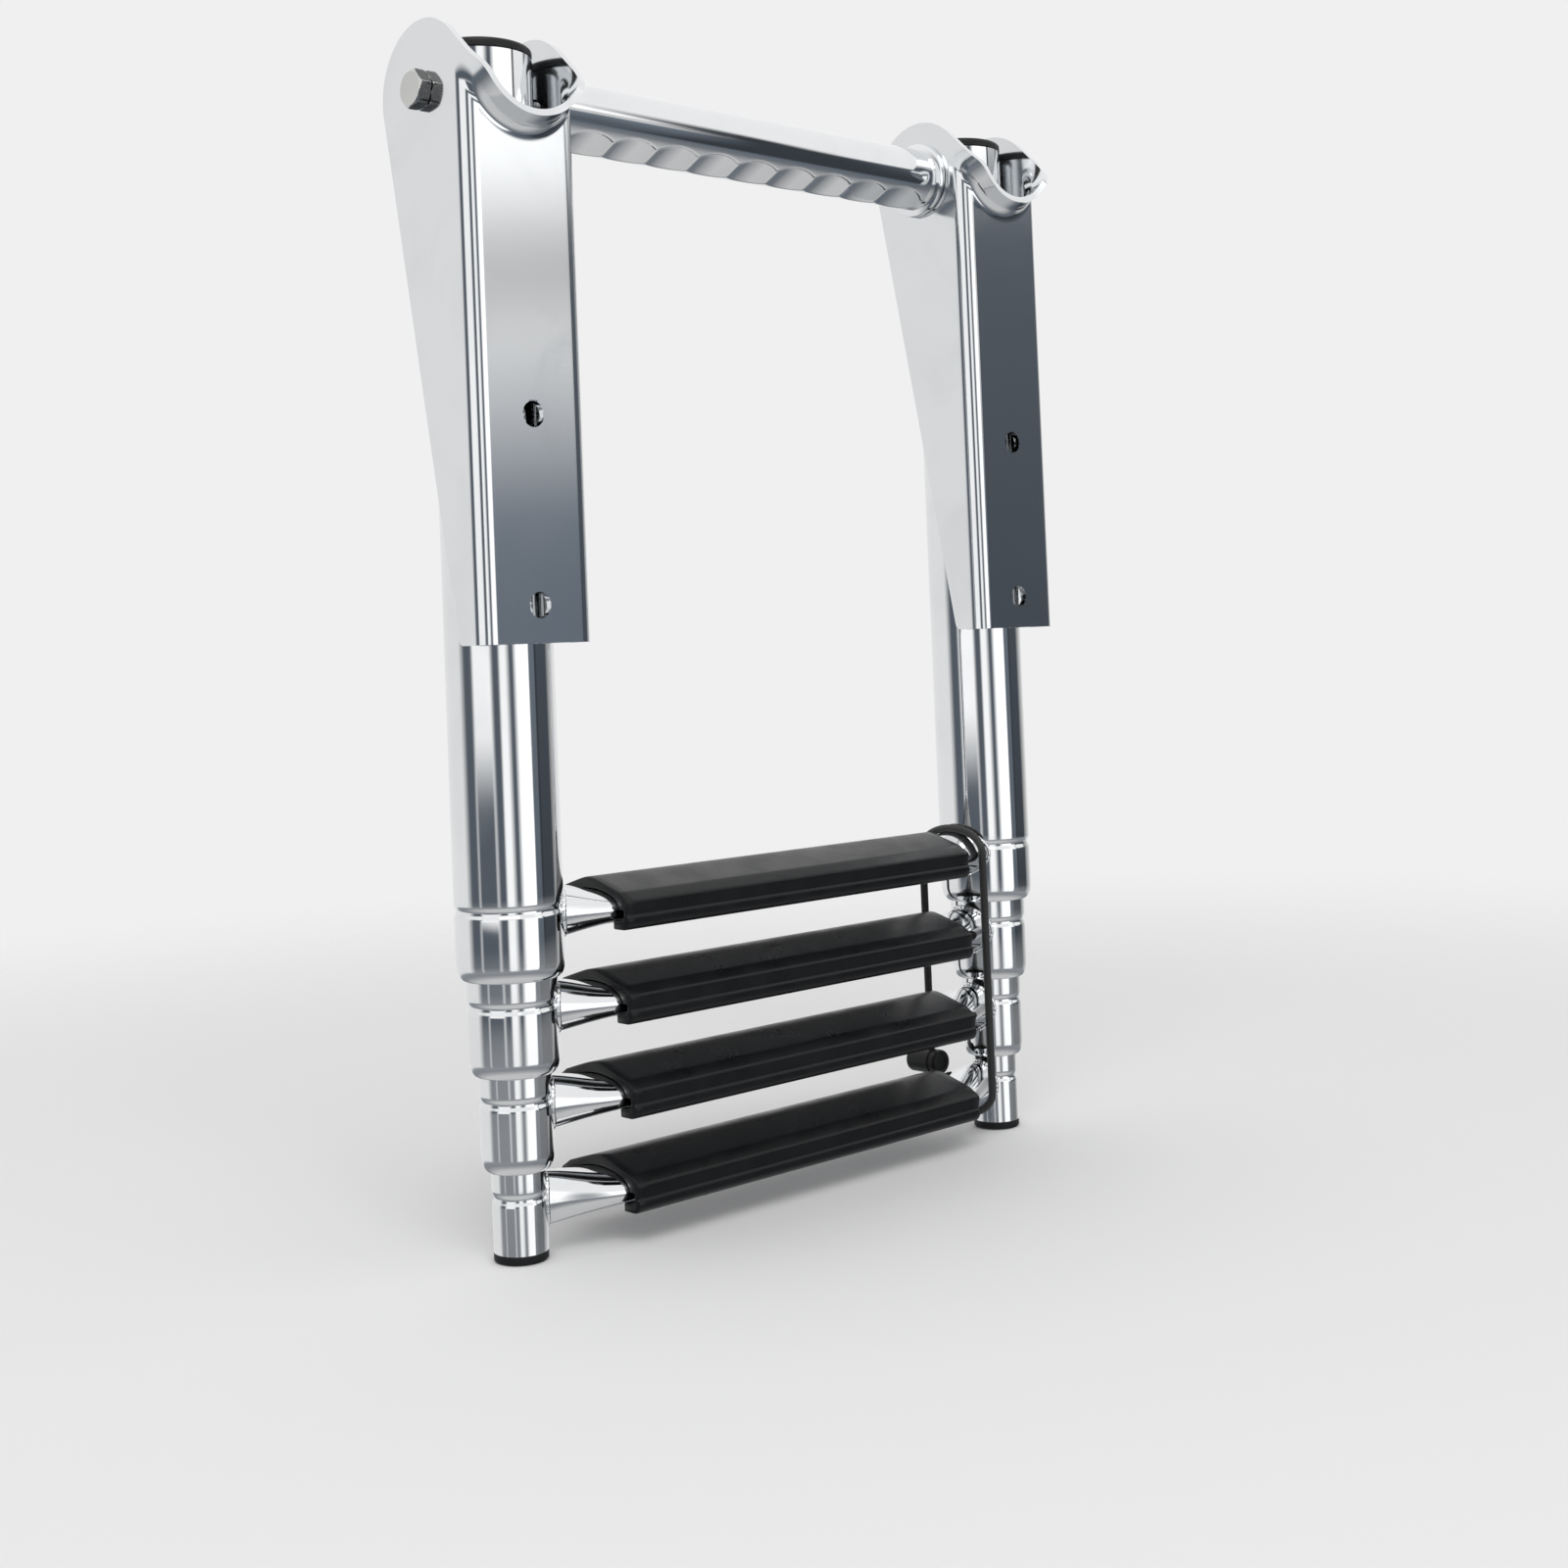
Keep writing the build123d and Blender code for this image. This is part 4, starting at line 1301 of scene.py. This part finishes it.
@dataclass
class Studio:
    """Floor, surroundings, lamps and camera."""

    place: tuple[float, float, float] = (-0.41532, -0.55814, -0.05103)
    yaw: float = math.radians(42.10)
    pitch: float = math.radians(1.50)
    roll: float = math.radians(-2.30)
    focal_pixels: float = 2084.1
    image: float = 1600.0
    middle: tuple[float, float] = (750.2, 610.5)
    backdrop: tuple[float, float, float] = (PALE, PALE, PALE)
    strips: Steps = (
        (-180, PALE), (-130, PALE), (-115, GAP), (-100, GAP), (-90, STRIP), (-60, STRIP), (-50, GAP),
        (-40, GAP), (-35, STRIP), (-25, STRIP), (-15, GAP), (-10, GAP), (0, LAMP), (25, LAMP),
        (30, GAP), (40, SHADE), (70, SHADE), (90, 0.5), (110, PALE), (180, PALE))
    pools: tuple[tuple[float, float, float, Steps], ...] = (
        (25, 42, 3.0, ((-10, GAP), (4, 0.2), (9, PALE), (11, 0.5), (14, LAMP), (40, 1.0))),
        (-97, -54, 6.0, ((-10, GAP), (-4, GAP), (-2, STRIP), (40, 1.0))),
        (44, 78, 3.0, ((-10, SHADE), (12, GAP), (15, 1.0), (40, 1.0))))
    pool_low: float = -10.0
    pool_high: float = 40.0
    gap_tint: tuple[float, float, float] = (0.85, 1.0, 1.2)
    gap_below: float = 0.3
    brightest: float = LAMP
    ceiling_level: float = 1.0
    ceiling_from: float = 16.0
    ceiling_to: float = 30.0
    fill_level: float = 0.75
    table: Steps = ((-90, 0.6), (-50, 0.6), (-30, GAP), (-15, 0.2))
    table_from: float = -22.0
    table_to: float = -17.0
    floor_near: float = 0.35
    floor_far: float = 1.1
    floor_thin: float = 0.75

    def camera(self) -> None:
        """Puts the camera where the photograph was taken from."""
        data = bpy.data.cameras.new("camera")
        camera = bpy.data.objects.new("camera", data)
        bpy.context.scene.collection.objects.link(camera)
        ahead = Vector((math.sin(self.yaw) * math.cos(self.pitch), math.cos(self.yaw) * math.cos(self.pitch),
                        math.sin(self.pitch)))
        right = Vector((math.cos(self.yaw), -math.sin(self.yaw), 0.0))
        up = right.cross(ahead)
        c, s = math.cos(self.roll), math.sin(self.roll)
        right, up = c * right + s * up, c * up - s * right
        turn = Matrix((right, up, -ahead)).transposed().to_4x4()
        camera.matrix_world = Matrix.Translation(self.place) @ turn
        data.sensor_width = 36.0
        data.lens = self.focal_pixels / self.image * data.sensor_width
        data.shift_x = (self.image / 2 - self.middle[0]) / self.image
        data.shift_y = (self.middle[1] - self.image / 2) / self.image
        data.clip_start, data.clip_end = 0.01, 50.0
        bpy.context.scene.camera = camera

    def floor(self) -> None:
        """Lays the plain pale floor, which thins out away from the feet."""
        points = [(-2500, -2500, 0), (2500, -2500, 0), (2500, 2500, 0), (-2500, 2500, 0)]
        floor = make_piece("pale_floor", np.array(points, float), [(0, 1, 2, 3)])
        material, g, shader = blank_material("pale_floor_paint")
        g.feed(shader, "Base Color", (0.86, 0.86, 0.86, 1.0))
        g.feed(shader, "Roughness", 0.8)
        g.feed(shader, "Specular IOR Level", 0.1)
        away = g.add("VectorMath", operation="DISTANCE")
        g.feed(away, 0, g.place())
        g.feed(away, 1, (SIZE.leg_x / 1000, -SIZE.web_y / 1000, -SIZE.screw_middle / 1000))
        solid = g.ranged(away.outputs["Value"], self.floor_near, self.floor_far, 1.0, 0.0)
        glossy = g.add("LightPath").outputs["Is Glossy Ray"]
        mirrored = g.maths("SUBTRACT", 1.0, g.maths("MULTIPLY", glossy, self.floor_thin))
        g.feed(shader, "Alpha", g.maths("MULTIPLY", solid, mirrored))
        dress(floor, material)

    def ramp(self, g: Graph, share: Socket, levels: Sequence[tuple[float, float]]) -> Socket:
        """A row of grey levels along a share from 0 to 1, with its dark gaps tinted.

        Args:
            g: the world's graph.
            share: the place along the row.
            levels: rows of (place, level), in order.

        Returns:
            The colour there, as a share of the brightest level.
        """
        node = g.add("ValToRGB")
        g.feed(node, 0, share)
        stops = node.color_ramp.elements
        while len(stops) > 1:
            stops.remove(stops[-1])
        for i, (place, level) in enumerate(levels):
            stop = stops[0] if i == 0 else stops.new(place)
            stop.position = place
            tint = self.gap_tint if level < self.gap_below else (1.0, 1.0, 1.0)
            stop.color = (*[level / self.brightest * c for c in tint], 1.0)
        return node.outputs["Color"]

    def surroundings(self) -> None:
        """Plain pale for the camera, and strip lights with dark gaps for the metal."""
        world = bpy.data.worlds.new("studio")
        bpy.context.scene.world = world
        world.use_nodes = True
        world.node_tree.nodes.clear()
        g = Graph(world.node_tree)
        way = g.add("SeparateXYZ")
        g.feed(way, 0, g.place("Generated"))
        height = g.maths("MULTIPLY", g.maths("ARCSINE", way.outputs["Z"]), 180 / math.pi)
        bearing = g.maths("ARCTAN2", way.outputs["X"], g.maths("MULTIPLY", way.outputs["Y"], -1.0))
        bearing = g.maths("MULTIPLY", bearing, 180 / math.pi)
        share = g.maths("ADD", g.maths("MULTIPLY", bearing, 1 / 360), 0.5)
        ring = self.ramp(g, share, [(angle / 360 + 0.5, level) for angle, level in self.strips])
        ceiling = g.ranged(height, self.ceiling_from, self.ceiling_to, 0.0, 1.0)
        top = self.ceiling_level / self.brightest
        studio = g.mixed(ceiling, ring, (top, top, top, 1.0))
        span = self.pool_high - self.pool_low
        risen = g.maths("MULTIPLY", g.maths("SUBTRACT", height, self.pool_low), 1 / span)
        for first, last, soft, levels in self.pools:
            pool = self.ramp(g, risen, [((angle - self.pool_low) / span, level) for angle, level in levels])
            inside = g.maths("MULTIPLY", g.ranged(bearing, first, first + soft, 0.0, 1.0),
                             g.ranged(bearing, last - soft, last, 1.0, 0.0))
            studio = g.mixed(inside, studio, pool)
        sunk = g.maths("MULTIPLY", g.maths("ADD", height, 90.0), 1 / 90)
        table = self.ramp(g, sunk, [(angle / 90 + 1, level) for angle, level in self.table])
        studio = g.mixed(g.ranged(height, self.table_from, self.table_to, 1.0, 0.0), studio, table)
        strips = g.add("Background", Color=studio, Strength=self.brightest)
        plain = g.add("Background", Color=(*self.backdrop, 1.0), Strength=1.0)
        soft = g.add("Background", Color=(1.0, 1.0, 1.0, 1.0), Strength=self.fill_level)
        seen = g.add("LightPath")
        shiny = g.maths("MAXIMUM", seen.outputs["Is Glossy Ray"], seen.outputs["Is Transmission Ray"])
        unseen = g.wired("MixShader", (shiny, soft.outputs[0], strips.outputs[0]))
        whole = g.wired("MixShader", (seen.outputs["Is Camera Ray"], unseen, plain.outputs[0]))
        g.add("OutputWorld", Surface=whole)

    def lamps(self) -> None:
        """Hangs one broad soft lamp above the front."""
        data = bpy.data.lights.new("broad_lamp", "AREA")
        data.shape, data.size, data.size_y, data.energy = "RECTANGLE", 1.2, 0.8, 9.0
        lamp = bpy.data.objects.new("broad_lamp", data)
        lamp.location = (-0.6, -0.9, 1.3)
        lamp.rotation_euler = (Vector((0.125, 0.0, 0.0)) - lamp.location).to_track_quat("-Z", "Y").to_euler()
        bpy.context.scene.collection.objects.link(lamp)

    def build(self) -> None:
        """Sets up everything round the ladder."""
        self.camera()
        self.floor()
        self.surroundings()
        self.lamps()
        bpy.context.scene.view_settings.view_transform = "Standard"


def main() -> None:
    """Builds the ladder's pieces, dresses them and sets the stage."""
    logging.basicConfig(level=logging.INFO, format="%(name)s: %(message)s")
    effects = Effects()
    materials = {slot: finish.make(effects) for slot, finish in FINISHES.items()}
    for assembly in (LegTubes(), Rungs(), Treads(), Brackets(), HandGrip(), Fasteners(), Plugs(), RetainingLoop()):
        for piece in assembly.build():
            dress(piece, materials[piece["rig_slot"]])
            LOG.info("%s: %s, %d faces", type(assembly).__name__, piece.name, len(piece.data.polygons))
    slots = {row["node"]: row["material_slot"] for row in frame["record"]["subparts"]}
    for name, node in frame["nodes"].items():
        dress(node, materials[slots[name]])
    Studio().build()


if __name__ == "__main__":
    main()
